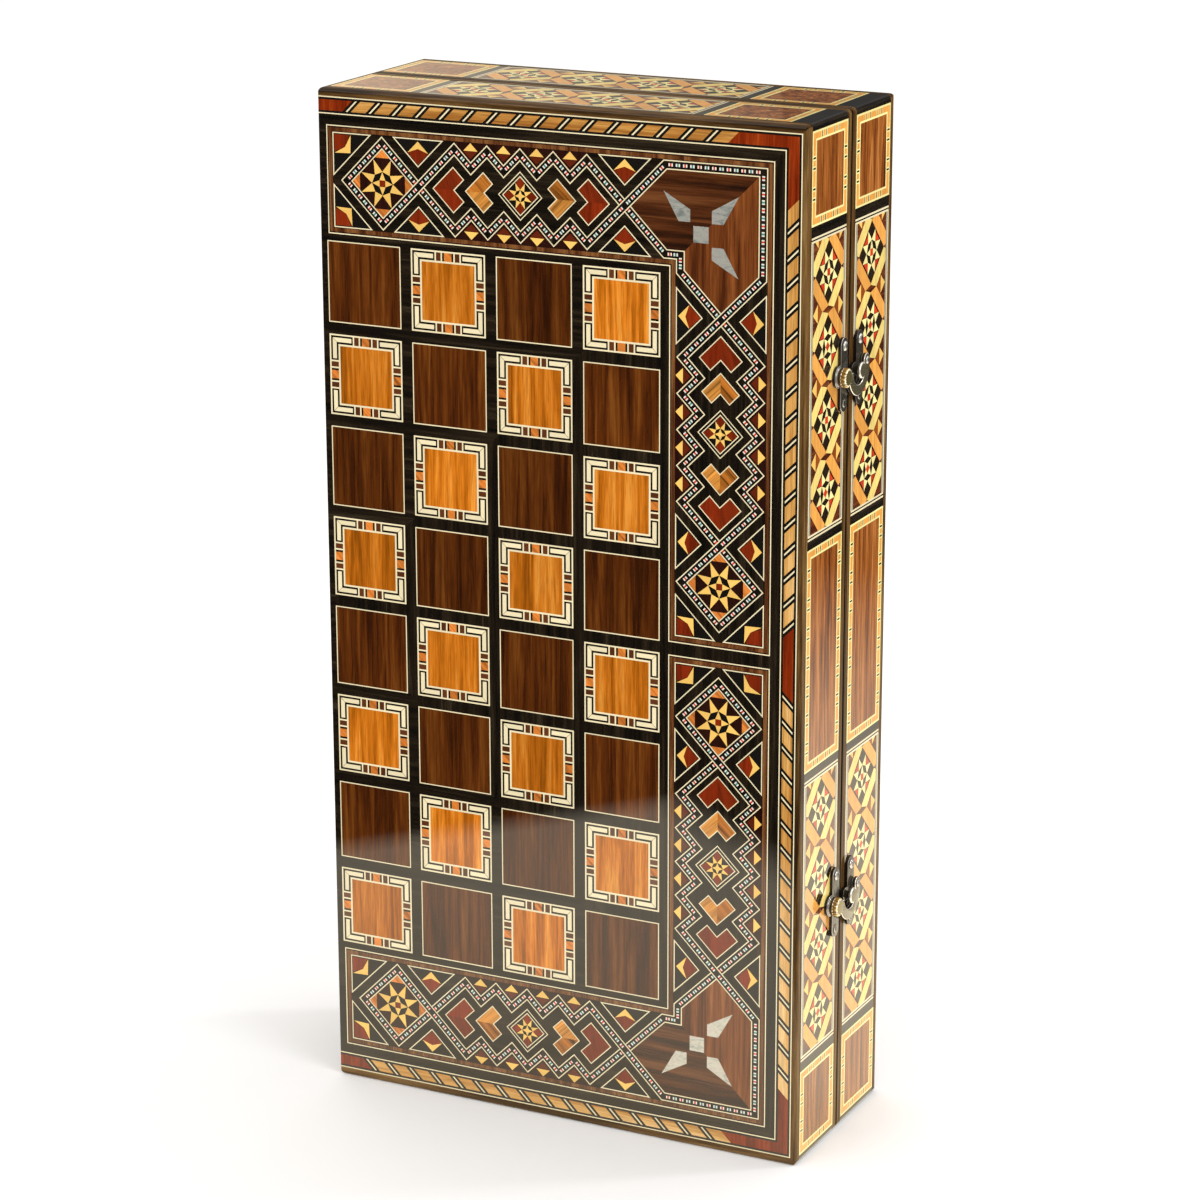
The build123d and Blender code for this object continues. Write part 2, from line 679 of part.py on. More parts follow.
def pivot_plate(height):
    """The front tray's plate, with the boss that carries the hook."""
    plate = latch_plate(height, PIVOT_OFFSET, PIVOT_LOBE_RADIUS)
    plate += side_disc(-PIVOT_OFFSET, height, HOOK_EYE_RADIUS, PLATE_X, PLATE_X + HOOK_BOSS)
    return plate - side_disc(-PIVOT_OFFSET, height, PIVOT_RADIUS + RUNNING_FIT, RIGHT,
                             PLATE_X + HOOK_BOSS)


def post(height):
    """A mushroom post, drawn for the front tray like the rest of the plate it stands on."""
    neck_end = HOOK_X + HOOK + PLAY
    stem = side_disc(-POST_OFFSET, height, POST_NECK_RADIUS, PLATE_X, neck_end)
    head = side_disc(-POST_OFFSET, height, POST_HEAD_RADIUS, neck_end, neck_end + POST_HEAD)
    head = chamfer(head.faces().sort_by(Axis.X)[-1].edges(), POST_HEAD / 2)
    return stem + head


def nails(height):
    """Two nails with round heads."""
    head = Cylinder(NAIL_HEAD_RADIUS, NAIL_HEAD, align=(Align.CENTER, Align.CENTER, Align.MIN))
    return [nail_pose(y, z) * (head + nail_shank()) for y, z in nail_places(height)]


def hook(height):
    """The hook: an eye on the pivot, a jaw under the post and a curl at its tip."""
    post_y = PIVOT_OFFSET + POST_OFFSET
    ring = Circle(HOOK_OUTER_RADIUS) - Circle(HOOK_INNER_RADIUS)
    reach = 2 * HOOK_OUTER_RADIUS
    tip = radians(HOOK_TIP_ANGLE)
    below = polygon([(-reach, 0), (-reach, -reach), (reach, -reach),
                     (reach, reach * sin(tip) / cos(tip)), (0, 0)])
    jaw = Pos(post_y, 0) * (ring & below)
    arm_foot = post_y - HOOK_OUTER_RADIUS
    arm = polygon([(0, 0), (arm_foot, 0), (post_y - HOOK_INNER_RADIUS, 0),
                   (arm_foot + HOOK_EYE_RADIUS, -HOOK_EYE_RADIUS), (0, -HOOK_EYE_RADIUS)])
    middle_radius = (HOOK_OUTER_RADIUS + HOOK_INNER_RADIUS) / 2
    curl = Pos(post_y + middle_radius * cos(tip), middle_radius * sin(tip)) * Circle(
        HOOK_CURL_RADIUS)
    sketch = Circle(HOOK_EYE_RADIUS) + arm + jaw + curl
    body = side_cut(sketch, -PIVOT_OFFSET, height, HOOK_X, HOOK_X + HOOK)
    return body - side_disc(-PIVOT_OFFSET, height, PIVOT_RADIUS + RUNNING_FIT, RIGHT, KNOB_X)


def knurled(radius, depth):
    """A round outline with V grooves."""
    points = []
    for i in range(2 * KNOB_GROOVES):
        r = radius - depth * (i % 2)
        points.append((r * cos(i * pi / KNOB_GROOVES), r * sin(i * pi / KNOB_GROOVES)))
    return polygon(points)


def knob(height):
    """A knurled brass knob on the pivot pin, which passes through the hook into the plate."""
    outline, bevel = knurled(KNOB_RADIUS, KNOB_GROOVE), KNOB_HEIGHT / 4
    head = side_cut(outline, -PIVOT_OFFSET, height, KNOB_X, KNOB_X + KNOB_HEIGHT - bevel)
    top = Plane(origin=(KNOB_X + KNOB_HEIGHT - bevel, -PIVOT_OFFSET, height), x_dir=(0, 1, 0),
                z_dir=(1, 0, 0))
    head += loft([top * outline, top.offset(bevel) * knurled(KNOB_RADIUS - bevel, KNOB_GROOVE)])
    return head + side_disc(-PIVOT_OFFSET, height, PIVOT_RADIUS, RIGHT + PLAY, KNOB_X)


# ------------------------------------------------------------------ the two trays
def tray(dark_parity):
    """Every node of the front tray, with dark squares where file and rank add to the parity."""
    dark, light = square_centres(dark_parity), square_centres(1 - dark_parity)
    walnut = squares(dark, SQUARE)
    frames = [frame - opening for frame, opening in
              zip(squares(light, SQUARE), squares(light, FRAME_OPENING))]
    strips = both_halves([frame_strip()])
    net = both_halves([stringing()])
    medallions = both_halves([medallion() - pearls()])
    olive = both_halves(rope_olive() + hearts(BURL_HEART, BURL_HEART_OFFSET))
    padauk = both_halves(rope_padauk() + hearts(RED_HEART, RED_HEART_OFFSET))
    stars_drawn = both_halves(stars())
    board = polygon(rectangle((0, EDGING_ENDS - HALF_HEIGHT),
                              (BOX_WIDTH - EDGING_SIDE, HALF_HEIGHT - EDGING_ENDS)))
    ground = board - (squares(dark + light, SQUARE) + strips + net + both_halves([medallion()])
                      + olive + padauk + stars_drawn)
    return {
        "face_panel": [face_panel()],
        "hinge_rail": [rail("hinge")],
        "latch_rail": [rail("latch")],
        "top_rail": [rail("top")],
        "bottom_rail": [rail("bottom")],
        "edging": trimmed([edging_strip(side) for side in ("top", "latch", "bottom")]),
        "ebony_ground": veneers([ground]),
        "walnut_squares": veneers(walnut),
        "light_squares": veneers(squares(light, FRAME_OPENING)),
        "square_frames": veneers(frames),
        "walnut_strips": veneers(strips),
        "stringing": veneers(net),
        "medallions": veneers(medallions),
        "pearl_inlays": veneers(both_halves(pearls())),
        "olive_inlays": veneers(olive),
        "padauk_inlays": veneers(padauk),
        "star_inlays": veneers(stars_drawn),
        "side_bars": side_veneers(0),
        "side_panels": side_veneers(1),
        "side_mosaics": side_veneers(2),
        "playing_floor": veneers([playing_floor()], FLOOR, -FLOOR_VENEER),
        "dark_points": veneers(points(0), FLOOR, -FLOOR_VENEER),
        "light_points": veneers(points(1), FLOOR, -FLOOR_VENEER),
        "hinge_screws": hinge_screws(),
        "latch_nails": [nail for height in LATCH_HEIGHTS for nail in nails(height)],
    }


def mirrored(shapes):
    """The back tray's copy of shapes drawn for the front tray."""
    return [mirror(shape, about=Plane.XZ) for shape in shapes]


def hardware():
    """Hinges and latches, whose two halves differ."""
    upper, lower = LATCH_HEIGHTS[1], LATCH_HEIGHTS[0]
    return {
        "front_tray_hinge_leaves": [hinge_leaf(height, 0) for height in HINGE_HEIGHTS],
        "back_tray_hinge_leaves": mirrored([hinge_leaf(height, 1) for height in HINGE_HEIGHTS]),
        "hinge_pins": hinge_pins(),
        "front_tray_latch_plates": [pivot_plate(height) for height in LATCH_HEIGHTS],
        "back_tray_latch_plates": mirrored([latch_plate(height, POST_OFFSET, POST_LOBE_RADIUS)
                                            for height in LATCH_HEIGHTS]),
        "latch_posts": mirrored([post(height) for height in LATCH_HEIGHTS]),
        "upper_hook": [hook(upper)],
        "lower_hook": [hook(lower)],
        "upper_knob": [knob(upper)],
        "lower_knob": [knob(lower)],
    }


def main():
    nodes = {"front_tray_" + name: shapes for name, shapes in tray(0).items()}
    nodes.update({"back_tray_" + name: mirrored(shapes) for name, shapes in tray(1).items()})
    nodes.update(hardware())
    os.makedirs("parts", exist_ok=True)
    for name, shapes in nodes.items():
        solids = [solid for shape in shapes for solid in shape.solids()]
        export_step(solids[0] if len(solids) == 1 else Compound(solids), f"parts/{name}.step")


main()
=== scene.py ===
"""Looks of the chess and backgammon box: veneer woods, fine marquetry, metals, light and camera.

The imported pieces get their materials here. What is too fine for them is added as thin pieces of
wood let into their veneer. Drawings are in millimetres and stand on the frame's own measures.
"""
from functools import partial
from math import cos, dist, pi, radians, sin, sqrt
from random import Random

import bmesh
import bpy
from mathutils import Matrix, Vector


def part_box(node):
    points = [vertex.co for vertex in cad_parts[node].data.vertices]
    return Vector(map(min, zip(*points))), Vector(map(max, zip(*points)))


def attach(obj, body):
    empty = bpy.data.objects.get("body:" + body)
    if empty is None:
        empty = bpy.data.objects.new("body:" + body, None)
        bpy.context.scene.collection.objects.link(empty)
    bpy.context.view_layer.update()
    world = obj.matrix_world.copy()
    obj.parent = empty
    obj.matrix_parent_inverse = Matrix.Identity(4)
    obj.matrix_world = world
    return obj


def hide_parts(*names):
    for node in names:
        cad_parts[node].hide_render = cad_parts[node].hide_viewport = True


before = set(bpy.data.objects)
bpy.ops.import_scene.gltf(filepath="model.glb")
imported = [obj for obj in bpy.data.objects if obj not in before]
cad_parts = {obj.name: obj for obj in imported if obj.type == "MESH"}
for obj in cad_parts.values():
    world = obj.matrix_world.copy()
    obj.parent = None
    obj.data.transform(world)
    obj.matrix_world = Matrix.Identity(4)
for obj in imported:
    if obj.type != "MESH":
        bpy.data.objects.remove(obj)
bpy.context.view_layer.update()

MM = 0.001
TRAYS = {"front_tray": -1, "back_tray": 1}  # and which way its chess face looks, along y

# ------ measures of the box, in mm
edging_low, edging_high = [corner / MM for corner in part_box("front_tray_edging")]
LEFT, RIGHT = edging_low.x, edging_high.x
OUTSIDE = -edging_low.y  # from the parting plane to a chess face
HEIGHT = edging_high.z
HALF_HEIGHT = HEIGHT / 2
WIDTH = RIGHT - LEFT
SIDE_TOP = OUTSIDE + edging_high.y  # the sides' veneer begins this far under the face
mosaic_low, mosaic_high = [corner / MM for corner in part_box("front_tray_side_mosaics")]
SIDE_WIDTH = mosaic_high.y - mosaic_low.y
END_SINK = mosaic_low.z

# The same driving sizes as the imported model, from the outside of a face inwards.
EDGING_ENDS, EDGING_SIDE = 4.0, 2.5
ROPE_LINE, ROPE_WIDTH = 1.55, 5.2
DARK_BAND = 5.0
FRAME_LINE, FRAME_STRIP = 0.8, 2.5
FIELD = 45.2
HINGE_BAND = 3.2
FRAME_TO_HINGE, FRAME_TO_MIDDLE = 4.0, 3.1
FILES, RANKS = 4, 8
SQUARE, LATTICE = 39.4, 5.7
STRINGING = 4.4
NET_MARGIN = 0.3
STAR_END_GAP = 7.3
MEDALLION_REACH = 71.0
PEAKS = 5
STAR, SMALL_STAR = (12.2, 5.6), (6.4, 2.9)  # radius at the tips, and at the waist
# The notched hearts of a chain: half width, place from its middle, and the two parts' woods
HEARTS = ((10.3, 35.0, "heart_red", "padauk"), (9.0, 19.2, "heart_burl", "heart_pale"))
ROPE_START, ROPE_CORNER = 17.8, 36.2
END_INSET, SHORT_END_BAR, SIDE_END_BAR, VENEER = 3.0, 9.7, 3.7, 1.0
SIDE_PANEL, SIDE_BAR, SIDE_MOSAIC, SIDE_MIDDLE_BAR = 43.0, 5.0, 140.3, 4.3
RAIL, POINTS, POINT_LENGTH, POINT_GAP, POINT_MARGIN = 9.0, 6, 188.0, 2.4, 3.0

SQUARE_PITCH = SQUARE + LATTICE
FRAME_RAIL = FRAME_LINE + FRAME_STRIP
BORDER = FIELD + 2 * FRAME_RAIL
ROPE_OUT = WIDTH - EDGING_SIDE - ROPE_LINE, HALF_HEIGHT - EDGING_ENDS - ROPE_LINE
BORDER_OUT = [out - ROPE_WIDTH - ROPE_LINE - DARK_BAND for out in ROPE_OUT]
FIELD_OUT = [out - FRAME_RAIL for out in BORDER_OUT]
FIELD_MIDDLE = [out - FIELD / 2 for out in FIELD_OUT]
NET_HALF = FIELD / 2 - NET_MARGIN - STRINGING / sqrt(2)

# ------ sizes of the fine marquetry
SUNK = 0.3  # the fine pieces are let into the veneer by this much
RISE = 0.02  # and stand this much proud of it,
LEVEL = 0.012  # with this much more for each piece laid over another
CREAM_LINE = 0.52
HAIRLINE = 0.3
ROD = 1.35  # across the stringing
RODS = (0.62, 0.88, 0.62)  # white, coloured and white
ROD_PITCH = 3.45  # from one group of three rods to the next
ROPE_PIECES = 15
ROPE_LAST = 10.4  # from the last separator to the corner piece
SEPARATORS = (("black", 4.5), ("cream", 1.0))
OUTER_LINE = 6.4  # cream line beside the net, from the stringing's middle

# ------ colours, as on a screen
# name: (colour, slot of the record, spread of the shades), and for pieces large enough to show
# their grain: how strongly it swirls, how deep its colours are, how coarse it is, how it leans
WOODS = {
    "cream": ("#E4D6AF", "maple", 0.05),
    "white": ("#E2DED2", "stringing", 0.04),
    "red": ("#C23E26", "stringing", 0.15),
    "teal": ("#4A827A", "stringing", 0.15),
    "yellow": ("#EABC62", "maple", 0.08),
    "orange": ("#C87430", "orange_wood", 0.10, 3.0, 0.50, 0.8, 0.8),
    "brown": ("#552E17", "strip_walnut", 0.18),
    "dark": ("#260F09", "walnut", 0.10, 1.0, 0.40, 0.8, 0.0),
    "russet": ("#581F0C", "padauk", 0.12),
    "padauk": ("#7A260A", "padauk", 0.12, 1.0, 0.30, 0.8, 0.0),
    "black": ("#14110E", "ebony", 0.10),
    "heart_red": ("#74260B", "padauk", 0.06, 1.0, 0.30, 0.8, 0.3),
    "heart_burl": ("#9C5C20", "olive_wood", 0.10, 2.5, 0.80, 1.3, 0.8),
    "heart_pale": ("#B87A34", "olive_wood", 0.10, 2.5, 0.65, 1.3, -0.8),
    "side_red": ("#C4391C", "side_mosaic", 0.12),
    "side_cream": ("#F0E29A", "side_mosaic", 0.08),
    "side_orange": ("#E6A24E", "side_mosaic", 0.07, 0.6, 0.12, 0.8, 0.0),
    "side_yellow": ("#F0D47C", "side_mosaic", 0.06, 0.6, 0.12, 0.8, 0.0),
    "side_black": ("#241A10", "side_mosaic", 0.12),
    "side_brown": ("#8C4518", "side_mosaic", 0.12),
    "side_silver": ("#AEAA92", "side_mosaic", 0.08),
}
SHADES = 3


def linear(colour, factor=1.0):
    """A screen colour as the linear numbers a shader takes."""
    parts = [int(colour[i:i + 2], 16) / 255 for i in (1, 3, 5)]
    parts = [c / 12.92 if c <= 0.04045 else ((c + 0.055) / 1.055) ** 2.4 for c in parts]
    return [min(c * factor, 1.0) for c in parts] + [1.0]


# ------ materials
LACQUER = {"Roughness": 0.45, "Specular IOR Level": 0.0, "Coat Weight": 1.0,
           "Coat Roughness": 0.03, "Coat IOR": 1.6}
SATIN = {"Roughness": 0.5, "Specular IOR Level": 0.35, "Coat Weight": 0.15,
         "Coat Roughness": 0.25}


class Nodes:
    """The nodes round a main shader, and short ways to add and join them."""

    def __init__(self, owner, main, values=()):
        owner.use_nodes = True
        self.owner, self.tree = owner, owner.node_tree
        self.main = self.tree.nodes[main]
        self.feed(self.main, values)

    def feed(self, node, values):
        """Gives sockets a value each, or joins them to another node's output."""
        for socket, value in dict(values).items():
            if isinstance(value, bpy.types.NodeSocket):
                self.tree.links.new(value, node.inputs[socket])
            else:
                node.inputs[socket].default_value = value

    def finish(self, values):
        """Feeds the main shader, and gives what the nodes belong to."""
        self.feed(self.main, values)
        return self.owner

    def add(self, kind, inputs=(), output=0, **settings):
        """The output of a new node."""
        node = self.tree.nodes.new("ShaderNode" + kind)
        for key, value in settings.items():
            setattr(node, key, value)
        self.feed(node, inputs)
        return node.outputs[output]

    def math(self, operation, a, b=0.0):
        return self.add("Math", {0: a, 1: b}, operation=operation)

    def mix(self, share, a, b, blend="MIX"):
        """Two colours mixed, by the node's own sockets for colours."""
        return self.add("Mix", {0: share, 6: a, 7: b}, 2, data_type="RGBA", blend_type=blend)

    def ramp(self, share, stops):
        output = self.add("ValToRGB", {"Fac": share})
        elements = output.node.color_ramp.elements
        while len(elements) < len(stops):
            elements.new(0.5)
        for element, (place, colour) in zip(elements, stops):
            element.position = place
            if isinstance(colour, str):
                colour = linear(colour)
            element.color = colour if isinstance(colour, list) else (*[colour] * 3, 1)
        return output

    def noise(self, place, scale, detail=3.0, roughness=0.55, distortion=0.0):
        return self.add("TexNoise", {
            "Vector": place, "Scale": scale, "Detail": detail, "Roughness": roughness,
            "Distortion": distortion})

    def eased(self, value, start, end, low=0.0, high=1.0):
        """Low where the value is at start, and high where it is at end."""
        return self.add("MapRange", {
            "Value": value, "From Min": start, "From Max": end, "To Min": low, "To Max": high})

    def place(self, scale=(1, 1, 1), shift=(0, 0, 0), lean=0.0):
        """The place on the piece, stretched."""
        where = self.add("TexCoord", output="Object")
        return self.add("Mapping", {
            "Vector": where, "Location": shift, "Scale": scale, "Rotation": (0, lean, 0)})

    def part(self, vector, axis):
        return self.add("SeparateXYZ", {0: vector}, axis)

    def facing(self, axis):
        """How squarely the surface faces along an axis."""
        return self.math("ABSOLUTE", self.part(self.add("TexCoord", output="Normal"), axis))


def principled(name, values):
    return Nodes(bpy.data.materials.new(name), "Principled BSDF", values)


def dress(mesh, *materials):
    """Gives a mesh its materials."""
    mesh.materials.clear()
    for material in materials:
        mesh.materials.append(material)


def placed(name, data):
    """A new object in the scene."""
    piece = bpy.data.objects.new(name, data)
    bpy.context.scene.collection.objects.link(piece)
    return piece


# ------ wood, pearl and metal
# Painted shade: the rails get a dark line painted where the two trays meet
SEAM_SHADE = (0.55, 1.15)  # the dark line where the trays meet: black to here, gone from there
SEAM_SHADE_BLACK = (0.008, 0.005, 0.003, 1)
ACROSS_GRAIN = 0.0022  # metres from one streak of the grain to the next
ALONG_GRAIN = 0.050
# The noises of the grain: scale, detail, roughness and distortion
FIGURE, STREAKS, PORES = (0.32, 4.0, 0.6), (1.3, 3.0, 0.65, 0.2), (5.0, 2.0, 0.6)
FIGURE_SHARE = 0.68  # of the colour; the streaks give the rest
PORE_DEPTH, PORE_STOPS = 0.55, [(0.32, 0.45), (0.55, 1.0)]
TONE_STOPS = [(0.0, 0.72), (1.0, 1.0)]  # the darkest and the lightest piece of a kind
GRAIN_BUMP = {"Strength": 0.04, "Distance": 0.0002}


def grain_colour(nodes, stops, axis, cell=None, streak=1.0, swirl=0.6, shift=0.0, lean=0.0):
    """Wood with its grain along an axis. With a cell, each piece of that pitch has its own."""
    scale = [1 / ACROSS_GRAIN / streak] * 3
    scale["xyz".index(axis)] = 1 / ALONG_GRAIN / streak
    where = nodes.place(shift=(shift, shift, shift), lean=lean)
    tone = None
    if cell:
        origin, pitch = cell
        index = nodes.add("Mapping", {
            "Vector": where, "Location": [-o / p for o, p in zip(origin, pitch)],
            "Scale": [1 / p for p in pitch]})
        index = nodes.add("VectorMath", {0: index}, operation="FLOOR")
        tone = nodes.add("TexWhiteNoise", {"Vector": index}, "Value", noise_dimensions="3D")
        apart = tone.node.outputs["Color"]
        where = nodes.add("VectorMath", {0: where, 1: apart}, operation="ADD")
    stretched = nodes.add("Mapping", {"Vector": where, "Scale": scale})
    figure = nodes.noise(stretched, *FIGURE, swirl)
    streaks = nodes.noise(stretched, *STREAKS)
    pores = nodes.noise(stretched, *PORES)
    share = nodes.math("ADD", nodes.math("MULTIPLY", figure, FIGURE_SHARE),
                       nodes.math("MULTIPLY", streaks, 1 - FIGURE_SHARE))
    pits = nodes.ramp(pores, PORE_STOPS)
    colour = nodes.mix(PORE_DEPTH, nodes.ramp(share, stops), pits, "MULTIPLY")
    if tone:
        colour = nodes.mix(1.0, colour, nodes.ramp(tone, TONE_STOPS), "MULTIPLY")
    return colour, streaks


def veneered(nodes, colour, streaks):
    """The finished material, with a fine bump along the streaks."""
    bump = nodes.add("Bump", {**GRAIN_BUMP, "Height": streaks})
    return nodes.finish({"Base Color": colour, "Normal": bump})


def wood(name, stops, axis="z", finish=LACQUER, seam_shade=False, **grain):
    """With a seam, a line of shade is painted dark on the wood where the two trays meet."""
    nodes = principled(name, finish)
    colour, streaks = grain_colour(nodes, stops, axis, **grain)
    if seam_shade:
        # Painted shade along the parting line, away from the contact faces
        from_seam = nodes.math("ABSOLUTE", nodes.part(nodes.place(), "Y"))
        near = nodes.eased(from_seam, SEAM_SHADE[0] * MM, SEAM_SHADE[1] * MM, 1.0, 0.0)
        beside = nodes.math("LESS_THAN", nodes.facing("Y"), 0.95)
        colour = nodes.mix(nodes.math("MULTIPLY", near, beside), colour, SEAM_SHADE_BLACK)
    return veneered(nodes, colour, streaks)


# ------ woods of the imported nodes
WALNUT = [(0.36, "#311304"), (0.46, "#4B2206"), (0.53, "#5E2E0A"), (0.64, "#784416")]
DARK_WALNUT = [(0.38, "#241108"), (0.46, "#3A1C0B"), (0.53, "#502912"), (0.62, "#6A3E20")]
RED_WALNUT = [(0.38, "#46200B"), (0.46, "#683515"), (0.54, "#804720"), (0.63, "#985C2E")]
ORANGE = [(0.38, "#945009"), (0.46, "#BC6710"), (0.53, "#D67A1D"), (0.62, "#EA983A")]
EBONY = [(0.36, "#0B0805"), (0.48, "#17110A"), (0.56, "#231B11"), (0.66, "#342B1E")]
PADAUK = [(0.36, "#541603"), (0.47, "#782506"), (0.56, "#90330C"), (0.66, "#A64619")]
OLIVE = [(0.37, "#9A6228"), (0.45, "#C08842"), (0.53, "#D6A25A"), (0.64, "#E8BE80")]
EDGING = [(0.38, "#2A1C0D"), (0.47, "#4B341A"), (0.55, "#694C29"), (0.64, "#85663D")]
STRIP = [(0.38, "#3E200C"), (0.48, "#62381C"), (0.60, "#84562E")]
SIDE_WALNUT = [(0.38, "#4E2208"), (0.46, "#7E4216"), (0.54, "#A46028"), (0.63, "#C07E42")]
SIDE_GROUND = [(0.38, "#3E190A"), (0.46, "#542410"), (0.54, "#683218"), (0.64, "#7E4422")]

PEARL = [(0.3, "#7F8480"), (0.42, "#A6A89F"), (0.52, "#BDBBAF"), (0.62, "#B2ABA4"),
         (0.75, "#D8D6CA")]
PEARL_FINISH = {**LACQUER, "Roughness": 0.22, "Metallic": 0.35, "Specular IOR Level": 0.6}
PEARL_WAVES = (90, 90, 240)  # to the metre, along x, y and z
CLOUDS = 140.0  # stains of the metals, to the metre
# How strongly rounded edges are painted bright as highlights, and how much the stains' clouds add
# to it
EDGE_HIGHLIGHT, CLOUD_WEAR = 3.6, 0.3

SQUARE_CELL = ([MM * c for c in (LEFT + HINGE_BAND - LATTICE / 2, 0, HALF_HEIGHT)],
               [MM * c for c in (SQUARE_PITCH, 2 * OUTSIDE, SQUARE_PITCH)])


def mitred_wood(name, side_stops, end_stops, swirl, streak=1.5, finish=LACQUER):
    """Wood mitred along the border's diagonal: upright at the latch side, lying at the ends."""
    nodes = principled(name, finish)
    upright, streaks = grain_colour(nodes, side_stops, "z", streak=streak, swirl=swirl)
    lying, _ = grain_colour(nodes, end_stops, "x", streak=streak, swirl=swirl, shift=3.1)
    where = nodes.place()
    up = nodes.math("SUBTRACT", nodes.part(where, "Z"), HALF_HEIGHT * MM)
    corner = (FIELD_OUT[1] - FIELD_OUT[0] - LEFT) * MM
    over = nodes.math("SUBTRACT", nodes.math("ABSOLUTE", up),
                      nodes.math("ADD", nodes.part(where, "X"), corner))
    at_end = nodes.math("GREATER_THAN", over, 0.0)
    return veneered(nodes, nodes.mix(at_end, upright, lying), streaks)


def pearl():
    """Mother-of-pearl: silver grey with soft wavy bands of pink and green."""
    nodes = principled("mother_of_pearl", PEARL_FINISH)
    waves = nodes.noise(nodes.place(PEARL_WAVES), 1.0, 3.0, 0.6, 1.5)
    return nodes.finish({"Base Color": nodes.ramp(waves, PEARL)})


def metal(name, side_shading, flat, painted_highlight, roughness, metallic=0.75):
    """Metal that faces along x: painted shading on its sides, plain faces, edges painted bright
    as highlights, and stains.
    """
    nodes = principled(name, {"Metallic": metallic})
    clouds = nodes.noise(nodes.place(), CLOUDS, distortion=0.3)
    facing = nodes.facing("X")
    square = nodes.math("MULTIPLY", facing, facing)
    # Painted highlight: the edges between a face along x and its sides are painted bright
    edge = nodes.math("MULTIPLY", square, nodes.math("SUBTRACT", 1.0, square))
    share = nodes.math("ADD", nodes.math("MULTIPLY", edge, EDGE_HIGHLIGHT),
                       nodes.math("MULTIPLY", clouds, CLOUD_WEAR))
    # Painted shading: what doesn't face along x takes the sides' colour
    plain = nodes.mix(facing, linear(side_shading), linear(flat))
    rim = nodes.ramp(share, [(0.25, 0.0), (0.75, 1.0)])
    return nodes.finish({"Base Color": nodes.mix(rim, plain, linear(painted_highlight)),
                         "Roughness": nodes.eased(clouds, 0.3, 0.7, *roughness)})


# Each metal: painted shading of its sides, its faces, its edges' painted highlight, roughness and
# metallic
BRONZE = metal("antique_bronze", "#3A3024", "#706850", "#FFF8E8", (0.12, 0.24), 0.55)
PLATE_BRONZE = metal("plate_bronze", "#2A221A", "#524D44", "#D8D4CC", (0.10, 0.20), 0.6)
GOLD = metal("gold_brass", "#9C7424", "#7C7048", "#FFF0C8", (0.12, 0.22), 0.6)
SCREW = metal("screw_brass", "#6A5430", "#8A7040", "#C8A868", (0.3, 0.45))
BRASS = metal("hinge_brass", "#A8854A", "#C9A663", "#E6CB90", (0.25, 0.4))
STEEL = metal("hinge_steel", "#8C8B8E", "#A8A8A8", "#D8D8D8", (0.25, 0.4))
RIM = {**LACQUER, "Coat Weight": 0.35}
RAIL_UP = wood("rail_walnut_upright", EDGING, finish=RIM, streak=0.8, seam_shade=True)
RAIL_LYING = wood("rail_walnut_lying", EDGING, "x", finish=RIM, streak=0.8, seam_shade=True)

TRAY_WOODS = {
    "face_panel": wood("plywood", OLIVE, finish=SATIN),
    "hinge_rail": RAIL_UP, "latch_rail": RAIL_UP,
    "top_rail": RAIL_LYING, "bottom_rail": RAIL_LYING,
    "edging": mitred_wood("edging_walnut", EDGING, EDGING, 0.6, 0.9, RIM),
    "ebony_ground": mitred_wood("ebony", EBONY, EBONY, 0.6, 0.6),
    "walnut_squares": wood("walnut", WALNUT, cell=SQUARE_CELL, streak=0.95, swirl=1.2),
    "light_squares": wood("orange_wood", ORANGE, cell=SQUARE_CELL, streak=1.0, swirl=1.1),
    "square_frames": wood("frame_black", EBONY, streak=0.5),
    "walnut_strips": wood("strip_walnut", STRIP, streak=0.6),
    "stringing": wood("stringing_black", EBONY, streak=0.5),
    "medallions": mitred_wood("medallion_walnut", RED_WALNUT, DARK_WALNUT, 1.8),
    "pearl_inlays": pearl(),
    "olive_inlays": mitred_wood("olive_wood", OLIVE, OLIVE, 0.8),
    "padauk_inlays": wood("padauk", PADAUK, streak=0.8, swirl=1.0),
    "star_inlays": wood("star_dark", WALNUT, streak=0.6),
    "side_bars": wood("side_ebony", EBONY, "y", streak=0.6),
    "side_panels": wood("side_walnut", SIDE_WALNUT, streak=1.2, swirl=2.2),
    "side_mosaics": wood("side_mosaic", SIDE_GROUND, "y", streak=0.5),
    "playing_floor": wood("floor_walnut", RED_WALNUT, finish=SATIN, streak=1.6),
    "dark_points": wood("point_dark", WALNUT, finish=SATIN, streak=1.2),
    "light_points": wood("point_light", ORANGE, finish=SATIN, streak=1.2),
    "hinge_screws": SCREW, "latch_nails": BRONZE, "hinge_leaves": BRASS, "latch_plates": BRONZE,
}
OTHER_METALS = {"hinge_pins": STEEL, "latch_posts": BRONZE, "upper_hook": BRONZE,
                "lower_hook": BRONZE, "upper_knob": GOLD, "lower_knob": GOLD}
for owner, materials in (("front_tray_", TRAY_WOODS), ("back_tray_", TRAY_WOODS),
                         ("", OTHER_METALS)):
    for part, material in materials.items():
        dress(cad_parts[owner + part].data, material)

# ------ fine marquetry: pieces of wood
random = Random(5)
inlays = {}  # (tray, wood): corners, faces and shades of its small pieces


def metres(corner):
    return [c * MM for c in corner]


def edges(points):
    """The edges of a closed outline, each from corner to corner."""
    return list(zip(points, points[1:] + points[:1]))


